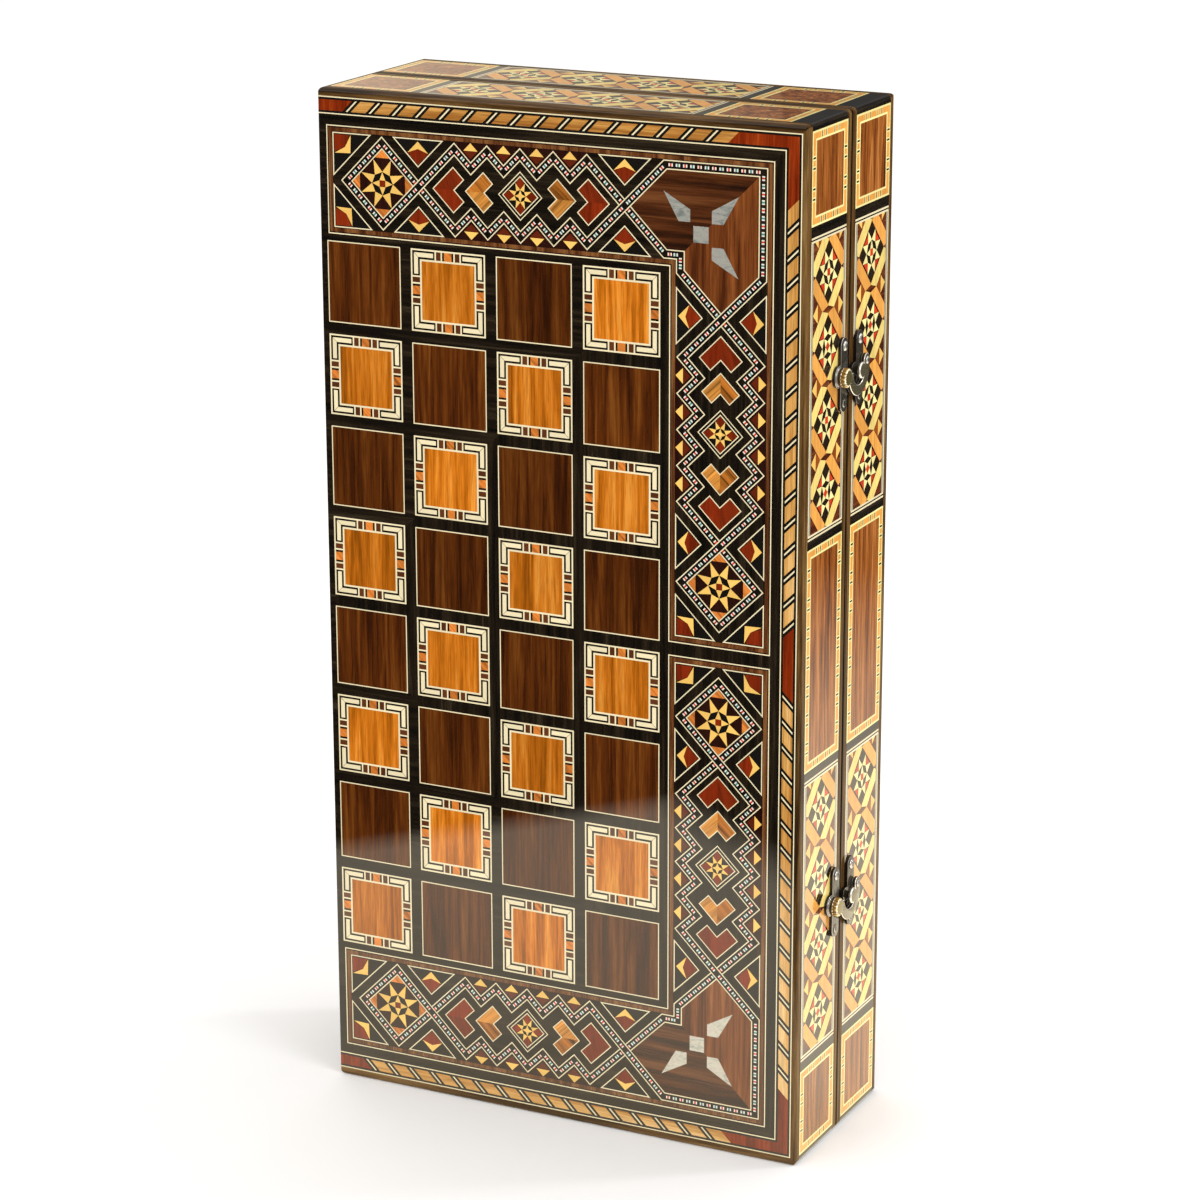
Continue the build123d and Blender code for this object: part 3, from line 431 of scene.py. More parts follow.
class Surface:
    """One veneered surface of a tray, or several that carry the same drawing."""

    def __init__(self, tray, *places):
        self.tray, self.places = tray, places

    def lay(self, wood, outline, level=0):
        """A flat piece of wood with this outline, let into the surface."""
        corners, faces, shades = inlays.setdefault((self.tray, wood), ([], [], []))
        count = len(outline)
        for place in self.places:
            top = list(range(len(corners), len(corners) + count))
            for rise in (RISE + level * LEVEL, -SUNK):
                corners += [place(a, b, rise) for a, b in outline]
            faces += [top, [i + count for i in top]]
            faces += [[a, b, b + count, a + count] for a, b in edges(top)]
            shades += [random.randrange(SHADES)] * (count + 2)

    def frame(self, wood, outline, outer=0, inner=-CREAM_LINE, level=0):
        """A mitred frame along a counter-clockwise outline, between two distances outwards."""
        far, near = [edges(moved_edges(outline, distance)) for distance in (outer, inner)]
        for (a, b), (c, d) in zip(far, near):
            self.lay(wood, [a, b, d, c], level)


def outward(start, end):
    """Unit normal on the right of an edge."""
    length = dist(start, end)
    return (end[1] - start[1]) / length, (start[0] - end[0]) / length


def moved_edges(points, distance):
    """Corners of a closed outline, counter-clockwise, with each edge moved outwards."""
    moved = []
    for before, here, after in zip(points[-1:] + points[:-1], points, points[1:] + points[:1]):
        (a, b), (c, d) = outward(before, here), outward(here, after)
        stretch = distance / (1 + a * c + b * d)
        moved.append((here[0] + (a + c) * stretch, here[1] + (b + d) * stretch))
    return moved


def counter_clockwise(points):
    area = sum(a[0] * b[1] - b[0] * a[1] for a, b in edges(points))
    return points if area > 0 else points[::-1]


def rectangle(low, high):
    return [(low[0], low[1]), (high[0], low[1]), (high[0], high[1]), (low[0], high[1])]


def square(u, w, half):
    return rectangle((u - half, w - half), (u + half, w + half))


def diamond(middle, half):
    return [(middle[0] - half, middle[1]), (middle[0], middle[1] - half),
            (middle[0] + half, middle[1]), (middle[0], middle[1] + half)]


def turned(points, middle, quarter):
    """Points round a middle, turned by quarters of a turn."""
    c, s = ((1, 0), (0, 1), (-1, 0), (0, -1))[quarter]
    return [(middle[0] + c * a - s * b, middle[1] + s * a + c * b) for a, b in points]


def around(middle, spots):
    """Points round a middle, each from its radius and angle."""
    return [(middle[0] + r * cos(angle), middle[1] + r * sin(angle)) for r, angle in spots]


def on_line(start, end, points):
    """Points measured along a line from its start, and to the right of it."""
    nx, ny = outward(start, end)
    return [(start[0] - ny * a + nx * b, start[1] + nx * a + ny * b) for a, b in points]


def clipped(outline, low, high):
    """What is left of an outline inside an upright rectangle."""
    for axis, limit, sign in ((0, low[0], 1), (0, high[0], -1), (1, low[1], 1), (1, high[1], -1)):
        kept = []
        for before, here in zip(outline[-1:] + outline[:-1], outline):
            was_inside, inside = (sign * (p[axis] - limit) >= 0 for p in (before, here))
            if inside != was_inside:
                share = (limit - before[axis]) / (here[axis] - before[axis])
                kept.append(tuple(a + (b - a) * share for a, b in zip(before, here)))
            if inside:
                kept.append(here)
        outline = kept
    return outline


# ------ stringing and stars
ROD_MARGIN = ROD / 2 + 0.15  # from a line's end to its first rod
OVER = 3  # level of the strip that runs over a crossing
STAR_KITE, STAR_HEART = 0.97, 0.28 * sqrt(2)  # how far they reach, of the star's waist


def rods(face, start, end, level):
    """Groups of three rods along a line: white, red or green, white."""
    run = dist(start, end) - 2 * ROD_MARGIN
    groups = max(1, int(run / ROD_PITCH + 0.4))
    for group in range(groups):
        at = ROD_MARGIN + (group + 0.5) * run / groups - sum(RODS) / 2
        for wood, width in zip(("white", ("red", "teal")[group % 2], "white"), RODS):
            rod = rectangle((at, -ROD / 2), (at + width, ROD / 2))
            face.lay(wood, on_line(start, end, rod), level)
            at += width


def string_net(face, outline, crossings):
    """Stringing along a closed outline. At a crossing, the rising strip runs over the other."""
    half = STRINGING / 2
    for i, (start, end) in enumerate(edges(outline)):
        rising = (end[0] - start[0]) * (end[1] - start[1]) > 0
        over = rising and (start in crossings or end in crossings)
        level = OVER if over else 0
        nx, ny = outward(start, end)

        def side(distance):
            """This edge moved outwards: cut square at a crossing, and mitred elsewhere."""
            mitred = edges(moved_edges(outline, distance))[i]
            return [(corner[0] + nx * distance, corner[1] + ny * distance)
                    if corner in crossings else mitre
                    for corner, mitre in zip((start, end), mitred)]
        if over:
            face.lay("black", side(half) + side(-half)[::-1], OVER - 1)
        for outer, inner in ((half, half - CREAM_LINE), (CREAM_LINE - half, -half)):
            face.lay("cream", side(outer) + side(inner)[::-1], level)
        rods(face, start, end, level)


def star_of_eight(face, middle, size, woods, level, turn=0.0):
    """Eight points, an octagon of four kites and four dark facets, and a square heart."""
    (radius, waist), (tip, dark, kite, heart) = size, woods
    corners = around(middle, [(radius if i % 2 else waist, i * pi / 8) for i in range(16)])
    for i in range(1, 16, 2):
        face.lay(tip, [corners[i - 1], corners[i], corners[(i + 1) % 16]], level)
    face.lay(dark, corners[0::2], level)
    inner = waist * STAR_HEART
    angles = [quarter * pi / 2 + turn for quarter in range(4)]
    for angle in angles:
        spots = ((waist * STAR_KITE, angle), (inner, angle + pi / 4), (inner, angle - pi / 4))
        face.lay(kite, around(middle, spots), level + 1)
    face.lay(heart, around(middle, [(inner, angle + pi / 4) for angle in angles]), level + 1)


# ------ the border of a chess face
FIELD_HALF = FIELD / 2
END_STAR = STAR_END_GAP + NET_HALF  # where the large star lies on an arm
STAR_ORDER = (0, 2, 1, 3)  # the quarters, as they are laid round a star
SMALL_DIAMONDS = (11.5, 9.4)  # two cream diamonds round the small star
HEART_LINE, DIAMOND_LINE = CREAM_LINE * 0.9, CREAM_LINE * 0.85


def l_shape(u, w, from_hinge=0, from_middle=0):
    """The two arms of an L: each takes how far along and how far out to a place on the face."""
    return (lambda along, out: (along + from_hinge, w + out),
            lambda along, out: (u + out, along + from_middle))


# The arms of the border's field, each with the end of its zigzag chain
CHAIN_START = STAR_END_GAP + 2 * NET_HALF
ARM_STARTS = FRAME_TO_HINGE + FRAME_RAIL, FRAME_TO_MIDDLE + FRAME_RAIL
ARMS = [(arm, out - start - MEDALLION_REACH) for arm, out, start in zip(
    l_shape(*FIELD_MIDDLE, *ARM_STARTS), FIELD_OUT, ARM_STARTS)]


def on_arm(arm, points):
    return counter_clockwise([arm(*point) for point in points])


def chain_step(end):
    """From one peak of an arm's zigzag chain to the next."""
    return (end - CHAIN_START - 2 * NET_HALF) / (PEAKS - 1)


def chain_outline(end):
    """The zigzag outline between two crossings, with peaks on both sides."""
    step = chain_step(end)
    upper = [(CHAIN_START + NET_HALF + i * step / 2, NET_HALF - i % 2 * step / 2)
             for i in range(2 * PEAKS - 1)]
    lower = [(along, -across) for along, across in upper]
    return [(CHAIN_START, 0)] + lower + [(end, 0)] + upper[::-1]


def medallion_outline():
    half = (FIELD - STRINGING) / 2
    end_u, side_w = [out - MEDALLION_REACH for out in FIELD_OUT]
    outer_u, outer_w = [out - STRINGING / 2 for out in FIELD_OUT]
    side_u, end_w = FIELD_MIDDLE
    return [(end_u, end_w), (end_u + half, end_w - half), (side_u - half, end_w - half),
            (side_u - half, side_w + half), (side_u, side_w), (outer_u, side_w + half),
            (outer_u, outer_w), (end_u + half, outer_w)]


def heart(middle, half, facing):
    return [(middle - facing * half, 0), (middle, half), (middle + facing * half / 2, half / 2),
            (middle, 0), (middle + facing * half / 2, -half / 2), (middle, -half)]


def from_edge(arm, along, side, points):
    """Points along an arm from a place on it, and in from one of its edges."""
    return on_arm(arm, [(along + a, side * (FIELD_HALF - depth)) for a, depth in points])


def black_triangle(face, triangle):
    face.lay("black", triangle)
    face.frame("cream", triangle, level=1)


def edge_triangle(face, arm, middle, side):
    """Over a crossing: a black triangle outlined in cream, with a yellow cap on a red kite."""
    place = partial(from_edge, arm, middle, side)
    reach = FIELD_HALF - OUTER_LINE * sqrt(2)
    black_triangle(face, place([(-reach, 0), (reach, 0), (0, reach)]))
    top, half, foot, notch, tip = 1.3, 5.5, 6.7, 4.8, 12.3
    face.lay("yellow", place([(0, top), (half, foot), (0, notch), (-half, foot)]), 2)
    face.lay("padauk", place([(half, foot), (0, tip), (-half, foot), (0, notch)]), 2)


def end_triangle(face, arm, side):
    """In a free corner of an arm: a black triangle outlined in cream, with a red square."""
    place = partial(from_edge, arm, 0, side)
    reach = STAR_END_GAP + FIELD_HALF - OUTER_LINE * sqrt(2)
    black_triangle(face, place([(0, 0), (reach, 0), (0, reach)]))
    near, far, inner = 1.0, 9.1, 6.7
    face.lay("padauk", place([(near, near), (far, near), (inner, inner), (near, far)]), 2)
    face.lay("yellow", place([(far + 0.7, near), (far + 0.4, far + 0.4), (near, far + 0.7),
                              (inner, inner)]), 2)


def zigzag_gap(face, arm, along, step, side):
    """Between two peaks: a brown ground with a yellow triangle over a red-brown one."""
    place = partial(from_edge, arm, along, side)
    reach = FIELD_HALF - NET_HALF + step / 2 - STRINGING / sqrt(2)
    size, gap = 3.7, 0.2
    face.lay("dark", place([(-reach, 0), (reach, 0), (0, reach)]))
    face.lay("yellow", place([(0, 0), (size, size), (-size, size)]), 1)
    face.lay("russet", place([(size, size + gap), (-size, size + gap), (0, 2 * size)]), 1)


def large_star(face, arm):
    """The large star of eight on dark wood, with orange corners."""
    middle = (END_STAR, 0)
    half, foot, gap = NET_HALF - STRINGING / sqrt(2), STAR[0] - 0.1, 0.1
    reach = half - foot - gap
    face.lay("dark", on_arm(arm, diamond(middle, half)))
    for quarter in STAR_ORDER:
        corner = turned([(foot, reach), (foot, -reach), (half - gap, 0)], middle, quarter)
        face.lay("orange", on_arm(arm, corner), 1)
    star_of_eight(face, arm(*middle), STAR, ("yellow", "black", "yellow", "padauk"), 1)


def chain_inside(face, arm, along):
    """The notched hearts' cream outlines and the small star in two cream diamonds."""
    for half, offset, near, far in HEARTS:
        for side in (-1, 1):
            shape = heart(along + side * offset, half, -side)
            face.frame("cream", on_arm(arm, shape), HEART_LINE, 0)
            face.lay(near, on_arm(arm, shape[:4]))
            face.lay(far, on_arm(arm, shape[3:] + shape[:1]))
    middle = (along, 0)
    for half in SMALL_DIAMONDS:
        face.frame("cream", on_arm(arm, diamond(middle, half)), 0, -DIAMOND_LINE)
    half = SMALL_DIAMONDS[1] - DIAMOND_LINE * sqrt(2)
    face.lay("black", on_arm(arm, diamond(middle, half)))
    foot = SMALL_STAR[0] * cos(pi / 8)
    kite = [(SMALL_STAR[1], 0), (foot, foot * 0.36), (half, 0), (foot, -foot * 0.36)]
    for quarter in STAR_ORDER:
        face.lay("padauk", on_arm(arm, turned(kite, middle, quarter)), 1)
    star_of_eight(face, arm(*middle), SMALL_STAR, ("yellow", "black", "yellow", "yellow"), 1)


def border(face):
    """The whole L-shaped border of one half of a chess face."""
    u, w = BORDER_OUT
    outline = [(FRAME_TO_HINGE, w - BORDER), (u - BORDER, w - BORDER),
               (u - BORDER, FRAME_TO_MIDDLE), (u, FRAME_TO_MIDDLE), (u, w), (FRAME_TO_HINGE, w)]
    face.frame("cream", outline)
    face.frame("dark", outline, -CREAM_LINE, -FRAME_LINE - HAIRLINE)
    face.frame("dark", outline, HAIRLINE - FRAME_RAIL, -FRAME_RAIL)
    nets = [medallion_outline()]
    crossings = [nets[0][0], nets[0][4]]
    for arm, end in ARMS:
        crossings += [arm(CHAIN_START, 0), arm(end, 0)]
        nets.append(on_arm(arm, diamond((END_STAR, 0), NET_HALF)))
        nets.append(on_arm(arm, chain_outline(end)))
    for net in nets:
        near = [point for point in net if any(dist(point, place) < 0.001 for place in crossings)]
        string_net(face, net, near)
    for arm, end in ARMS:
        large_star(face, arm)
        chain_inside(face, arm, (CHAIN_START + end) / 2)
        first, step = CHAIN_START + NET_HALF, chain_step(end)
        for side in (-1, 1):
            end_triangle(face, arm, side)
            for crossing in (CHAIN_START, end):
                edge_triangle(face, arm, crossing, side)
            for valley in range(PEAKS - 1):
                zigzag_gap(face, arm, first + (valley + 0.5) * step, step, side)


# ------ rope banding
def rope(face):
    """Cream and black lines on both sides of the rope, and its slanted separators."""
    dark = ROPE_LINE - CREAM_LINE
    inner = ROPE_LINE + ROPE_WIDTH
    for inset, line, wood in ((0, CREAM_LINE, "cream"), (CREAM_LINE, dark, "black"),
                              (inner, dark, "black"), (inner + dark, CREAM_LINE, "cream")):
        u, w = WIDTH - EDGING_SIDE - inset, HALF_HEIGHT - EDGING_ENDS - inset
        face.lay(wood, [(0, w - line), (u - line, w - line), (u, w), (0, w)])
        face.lay(wood, [(u - line, 0), (u, 0), (u, w), (u - line, w - line)])
    runs = l_shape(*[out - ROPE_WIDTH for out in ROPE_OUT])
    for run, length in zip(runs, (WIDTH, HALF_HEIGHT)):
        pitch = (length - ROPE_CORNER - ROPE_LAST - ROPE_START) / ROPE_PIECES
        for i in range(ROPE_PIECES + 1):
            middle = ROPE_START + i * pitch
            foot, head = middle - ROPE_WIDTH / 2, middle + ROPE_WIDTH / 2
            for level, (wood, width) in enumerate(SEPARATORS):
                half = width / 2
                face.lay(wood, [run(foot - half, 0), run(foot + half, 0),
                                run(head + half, ROPE_WIDTH), run(head - half, ROPE_WIDTH)],
                         level)


# ------ chess squares
FRAME_LINES = (0.75, 0.95, 2.1, 1.0, 0.9)  # a light square's frame, from outside inwards
HALF_GROUP = ("cream", 0.75), ("brown", 2.5), ("cream", 0.75), (None, 1.0)
GROUP = (*HALF_GROUP, ("orange", 4.0), *HALF_GROUP[::-1])
BAR_MITRE, BAR_GAP = 0.12, 0.8  # at the corner bars' mitre, and beside the group


def light_square(face, middle):
    """Cream rings, mitred L-shaped bars in the corners and a group of bars on each side."""
    half = SQUARE / 2
    first, gap, bar, second, last = FRAME_LINES
    ring = -first - gap - bar - second
    face.frame("cream", square(*middle, half), 0, -first)
    face.frame("cream", square(*middle, half), ring, ring - last)
    bar_out, bar_in = half - first - gap, half - first - gap - bar
    group_half = sum(width for _, width in GROUP) / 2
    bar_end = group_half + BAR_GAP
    corner_bar = [(bar_end, bar_in), (bar_in - BAR_MITRE, bar_in),
                  (bar_out - BAR_MITRE, bar_out), (bar_end, bar_out)]
    for quarter in range(4):
        for side in (-1, 1):
            piece = [(side * a, b) for a, b in corner_bar]
            face.lay("cream", turned(piece, middle, quarter))
        at = -group_half
        for wood, width in GROUP:
            if wood:
                piece = rectangle((at, half + ring), (at + width, half - first))
                face.lay(wood, turned(piece, middle, quarter))
            at += width


def chess_squares(face, dark_parity):
    for rank in range(RANKS):
        for file in range(FILES):
            middle = (HINGE_BAND + SQUARE / 2 + file * SQUARE_PITCH,
                      (RANKS - 1) * SQUARE_PITCH / 2 - rank * SQUARE_PITCH)
            if (file + rank) % 2 == dark_parity:
                face.frame("cream", square(*middle, SQUARE / 2))
            else:
                light_square(face, middle)


# ------ sides of a tray
PANEL_FRAME = (0.95, 2.75, 0.95)  # cream, orange and cream round a walnut panel
DASHES = (9.2, 4.7)  # a long and a short orange dash, in turn
DASH_BARS = (("side_cream", 1.05, 1), ("side_black", 0.45, 2))  # wood, half width and level
MOSAIC_END, MOSAIC_MARGIN = (0.9, 0.7, 0.9), 0.3
MOSAIC_LINES = ((0.2, 0.7, "cream"), (0.9, 0.7, "side_silver"), (1.9, 0.9, "side_silver"))
MOSAIC_SIDE = 3.0
DIAMONDS, DIAMOND_PITCH = 4, 34.4
BAND_IN, BAND_OUT = 14.5, 23.9  # of the crossing bands, along an axis
BAND_START, BAND_GAP, BAND_END = BAND_IN + 0.3, 0.2, 1.2
KNOT = 1.7  # half width of the thin diamond between two
CAP_DEPTH, CAP_HALF, CAP_GAP = 5.2, 4.3, 0.25  # yellow caps on brown ones, between two
SIDE_STAR = (11.1, 6.0)
SIDE_RHOMB, SIDE_RHOMB_AT = 3.8, 10.6
SIDE_CORNER = (4.5, 9.0)  # near and far end of the red corners' legs


def side_panel(face, low, high):
    """A frame of orange dashes with black bars, between two cream lines."""
    outline = rectangle((low, 0), (high, SIDE_WIDTH))
    outer, dash, inner = PANEL_FRAME
    at = 0
    for wood, width in (("side_cream", outer), ("side_orange", dash), ("side_cream", inner)):
        face.frame(wood, outline, -at, -at - width)
        at += width
    for start, end in edges(outline):
        length = dist(start, end)
        pairs = max(1, round((length - 2 * at) / sum(DASHES)))
        first = (length - pairs * sum(DASHES) + DASHES[0]) / 2
        for i in range(2 * pairs):
            bar = first + i // 2 * sum(DASHES) + i % 2 * DASHES[1]
            for wood, half, level in DASH_BARS:
                piece = rectangle((bar - half, -outer), (bar + half, -outer - dash))
                face.lay(wood, on_line(start, end, piece), level)


def mosaic_diamond(face, middle, low, high, turn):
    """Crossing bands round a diamond with a star of eight, and what lies between two."""
    def lay(wood, points, level=0):
        outline = clipped([(middle[0] + a, middle[1] + b) for a, b in points], low, high)
        if len(outline) > 2:
            face.lay(wood, outline, level)
    next_to = DIAMOND_PITCH / 2
    edge = high[1] - middle[1]
    band = [(BAND_START, BAND_GAP), (next_to - KNOT, BAND_GAP), (next_to, BAND_OUT - next_to),
            (BAND_OUT - edge, edge), (BAND_END, edge), (BAND_GAP, BAND_START)]
    for sa, sb in ((1, 1), (-1, 1), (-1, -1), (1, -1)):
        rising = sa * sb * TRAYS[face.tray] > 0  # the back tray's are mirrored
        lay("side_yellow" if rising else "side_orange", [(sa * a, sb * b) for a, b in band])
    foot = edge - CAP_DEPTH
    for sb in (-1, 1):
        for wood, tip, flat in (("yellow", edge, foot),
                                ("side_brown", foot - CAP_HALF - CAP_GAP, foot - CAP_GAP)):
            cap = [(next_to - CAP_HALF, flat), (next_to + CAP_HALF, flat), (next_to, tip)]
            lay(wood, [(a, sb * b) for a, b in cap])
    lay("dark", diamond((0, 0), BAND_IN))
    near, far = SIDE_CORNER
    for quarter in range(4):
        for wood, points in (("side_black", diamond((0, SIDE_RHOMB_AT), SIDE_RHOMB)),
                             ("side_red", [(near, near), (far, near), (near, far)])):
            lay(wood, turned(points, (0, 0), quarter), 1)
    star_of_eight(face, middle, SIDE_STAR,
                  ("side_cream", "side_black", "side_cream", "side_red"), 2, turn)


def side_mosaic(face, low, high):
    """Star diamonds between lines at the ends and silvery lines along the sides."""
    start, end, top = low, high, SIDE_WIDTH - MOSAIC_MARGIN
    for width, wood in zip(MOSAIC_END, ("cream", "black", "cream")):
        for at in (start, end - width):
            face.lay(wood, rectangle((at, MOSAIC_MARGIN), (at + width, top)))
        start, end = start + width, end - width
    for inset, width, wood in MOSAIC_LINES:
        for across in (inset, SIDE_WIDTH - inset - width):
            face.lay(wood, rectangle((start, across), (end, across + width)))
    for i in range(DIAMONDS):
        middle = ((low + high) / 2 + (i - (DIAMONDS - 1) / 2) * DIAMOND_PITCH, SIDE_WIDTH / 2)
        mosaic_diamond(face, middle, (start, MOSAIC_SIDE), (end, SIDE_WIDTH - MOSAIC_SIDE),
                       0.0 if i % 2 else pi / 4)


def latch_side(face):
    mosaic = SIDE_END_BAR + SIDE_PANEL + SIDE_BAR
    middle = mosaic + SIDE_MOSAIC + SIDE_MIDDLE_BAR
    for draw, low, length in ((side_panel, SIDE_END_BAR, SIDE_PANEL),
                              (side_mosaic, mosaic, SIDE_MOSAIC)):
        draw(face, low, low + length)
        draw(face, HEIGHT - low - length, HEIGHT - low)
    side_panel(face, middle, HEIGHT - middle)


def short_end(face):
    bar = WIDTH - VENEER - SHORT_END_BAR
    first, last = END_INSET + SIDE_PANEL, bar - SIDE_PANEL
    side_panel(face, END_INSET, first)
    side_panel(face, last, bar)
    side_mosaic(face, first + SIDE_BAR, last - SIDE_BAR)


# ------ backgammon board inside
FLOOR_LINE = (-1.0, -1.8)  # from the rails
POINT_LINE, FOOT_LINE = 0.8, 1.1  # along a point, and round the star at its foot
FOOT_DIAMOND, FOOT_STAR = 0.62, (0.36, 0.17)  # of half a point's width


def backgammon(face):
    """Cream lines round the floor and along every point, with a small star at each foot."""
    half_u, half_w = WIDTH / 2 - RAIL, HALF_HEIGHT - RAIL
    face.frame("cream", rectangle((-half_u, -half_w), (half_u, half_w)), *FLOOR_LINE)
    inner_u, inner_w = half_u - POINT_MARGIN, half_w - POINT_MARGIN
    pitch = 2 * inner_u / POINTS
    half = (pitch - POINT_GAP) / 2
    for end in (-1, 1):
        for i in range(POINTS):
            middle = -inner_u + (i + 0.5) * pitch
            point = [(middle - half, end * inner_w), (middle + half, end * inner_w),
                     (middle, end * (inner_w - POINT_LENGTH))]
            face.frame("cream", counter_clockwise(point), 0, -POINT_LINE)
            star = (middle, end * (inner_w - half))
            face.lay("cream", diamond(star, half * FOOT_DIAMOND))
            face.lay("black", diamond(star, half * FOOT_DIAMOND - FOOT_LINE), 1)
            star_of_eight(face, star, [half * size for size in FOOT_STAR],
                          ("yellow", "dark", "cream", "red"), 2)


# ------ both trays
def draw_tray(tray, outwards):
    """All the fine pieces of one tray. The back tray's chess colours are swapped."""
    def chess(up):
        return lambda u, w, rise: (LEFT + u, outwards * (OUTSIDE + rise), HALF_HEIGHT + up * w)

    def depth(across):
        return outwards * (OUTSIDE - SIDE_TOP - across)
    halves = Surface(tray, chess(1), chess(-1))
    border(halves)
    rope(halves)
    chess_squares(Surface(tray, chess(1)), 0 if outwards < 0 else 1)
    latch_side(Surface(tray, lambda z, across, rise: (RIGHT + rise, depth(across), z)))

    def end(z, up):
        return lambda u, across, rise: (LEFT + u, depth(across), z + up * rise)
    short_end(Surface(tray, end(HEIGHT - END_SINK, 1), end(END_SINK, -1)))
    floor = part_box(f"{tray}_playing_floor")
    floor_y = (floor[1].y if outwards < 0 else floor[0].y) / MM

    def inside(a, b, rise):
        return LEFT + WIDTH / 2 + a, floor_y - outwards * rise, HALF_HEIGHT + b
    backgammon(Surface(tray, inside))


def inlay_materials(wood):
    """A few shades of one wood, so that neighbours differ as cut rods do."""
    colour, _, spread, *grain = WOODS[wood]
    shades = []
    for i in range(SHADES):
        tone = linear(colour, 1 + spread * (2 * i / (SHADES - 1) - 1))
        nodes = principled(f"inlay_{wood}_{i}", {**LACQUER, "Base Color": tone})
        if grain:
            swirl, depth, streak, lean = grain
            stops = [(place, [min(c * (1 + depth * share), 1.0) for c in tone[:3]] + [1.0])
                     for place, share in ((0.38, -1.0), (0.46, -0.2), (0.53, 0.3), (0.62, 0.8))]
            figure, _ = grain_colour(nodes, stops, "z", None, streak, swirl, 0.37 * i, lean)
            nodes.finish({"Base Color": figure})
        shades.append(nodes.owner)
    return shades


def fill_mesh(mesh, work):
    """Writes a bmesh into a mesh, with its faces outwards."""
    bmesh.ops.recalc_face_normals(work, faces=work.faces)
    work.to_mesh(mesh)
    work.free()


def make_inlays():
    shades_of = {wood: inlay_materials(wood) for wood in WOODS}
    for (tray, wood), (corners, faces, shades) in inlays.items():
        mesh = bpy.data.meshes.new(f"{tray}_inlay_{wood}")
        mesh.from_pydata([metres(corner) for corner in corners], [], faces)
        dress(mesh, *shades_of[wood])
        mesh.polygons.foreach_set("material_index", shades)
        work = bmesh.new()
        work.from_mesh(mesh)
        fill_mesh(mesh, work)
        piece = placed(f"{tray}_inlay_{wood}", mesh)
        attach(piece, tray)


for tray, outwards in TRAYS.items():
    draw_tray(tray, outwards)
make_inlays()

# ------ cast latches
PLATE, PLATE_CAST = 1.2, 1.75  # a plate's thickness as packed, and as cast
HOOK_CAST = 1.45  # how much thicker the hooks' castings are
POST_OFFSET, POST_WIDER, POST_THICKER = 3.2, 1.22, 1.4
POST_STEM, POST_HEAD = 2.0, 1.3  # its radius, and how far from the plate it widens
NAIL_OFFSET = 9.0  # from the parting plane to the nails
NAIL_PITCH = 27.0
UPPER_NAIL, LOWER_NAIL = (2.5, 1.3), (2.0, 0.5)  # radius and height of a dome
CURL, CURL_PIN = (12.2, 2.9), (1.9, 0.9)  # the hook's far end, from its middle height
LATCH_HEIGHTS = (121.0, HEIGHT - 121.0)
KNURL = 0.9  # the knobs' grooves are cut deeper by this factor
GROOVES = ((3.3, 3.8), (4.2, 4.5))  # how far they lie from the knob's middle, as packed
SEATED = 0.05  # how deep a dome's foot is let in
DOME_SIDES, DOME_RINGS = 24, 5


def round_edges(piece, width):
    """Joins a casting's flat facets and rounds its edges."""
    piece.data.polygons.foreach_set("use_smooth", [True] * len(piece.data.polygons))
    piece.modifiers.new("weld", "WELD").merge_threshold = 0.01 * MM
    flat = piece.modifiers.new("flat", "DECIMATE")
    flat.decimate_type, flat.angle_limit = "DISSOLVE", radians(2)
    bevel = piece.modifiers.new("round", "BEVEL")
    bevel.width, bevel.segments = width * MM, 3
    bevel.limit_method, bevel.angle_limit = "ANGLE", radians(35)
    bevel.harden_normals = True


def casting(node, body, move, width, material):
    """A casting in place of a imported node, with each corner moved and its edges rounded."""
    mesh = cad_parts[node].data.copy()
    for vertex in mesh.vertices:
        vertex.co = Vector(move(*[c / MM for c in vertex.co])) * MM
    dress(mesh, material)
    piece = placed(f"{node}_casting", mesh)
    round_edges(piece, width)
    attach(piece, body)
    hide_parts(node)


def domes(name, body, places):
    """Low round heads on the latch side. A place is x of its foot, y, z, radius and height."""
    work = bmesh.new()
    turns = [2 * pi * k / DOME_SIDES for k in range(DOME_SIDES)]
    for x, y, z, radius, height in places:
        layers = []
        for ring in range(DOME_RINGS):
            lean = pi / 2 * ring / DOME_RINGS
            layers.append([work.verts.new(metres((
                x + height * sin(lean), y + radius * cos(lean) * cos(turn),
                z + radius * cos(lean) * sin(turn)))) for turn in turns])
        top = work.verts.new(metres((x + height, y, z)))
        work.faces.new(layers[0])
        for low, high in zip(layers, layers[1:]):
            for k in range(DOME_SIDES):
                work.faces.new([low[k], low[k - 1], high[k - 1], high[k]])
        for k in range(DOME_SIDES):
            work.faces.new([layers[-1][k], layers[-1][k - 1], top])
    for face in work.faces:
        face.smooth = len(face.verts) < DOME_SIDES
    mesh = bpy.data.meshes.new(name)
    fill_mesh(mesh, work)
    dress(mesh, PLATE_BRONZE)
    piece = placed(name, mesh)
    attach(piece, body)


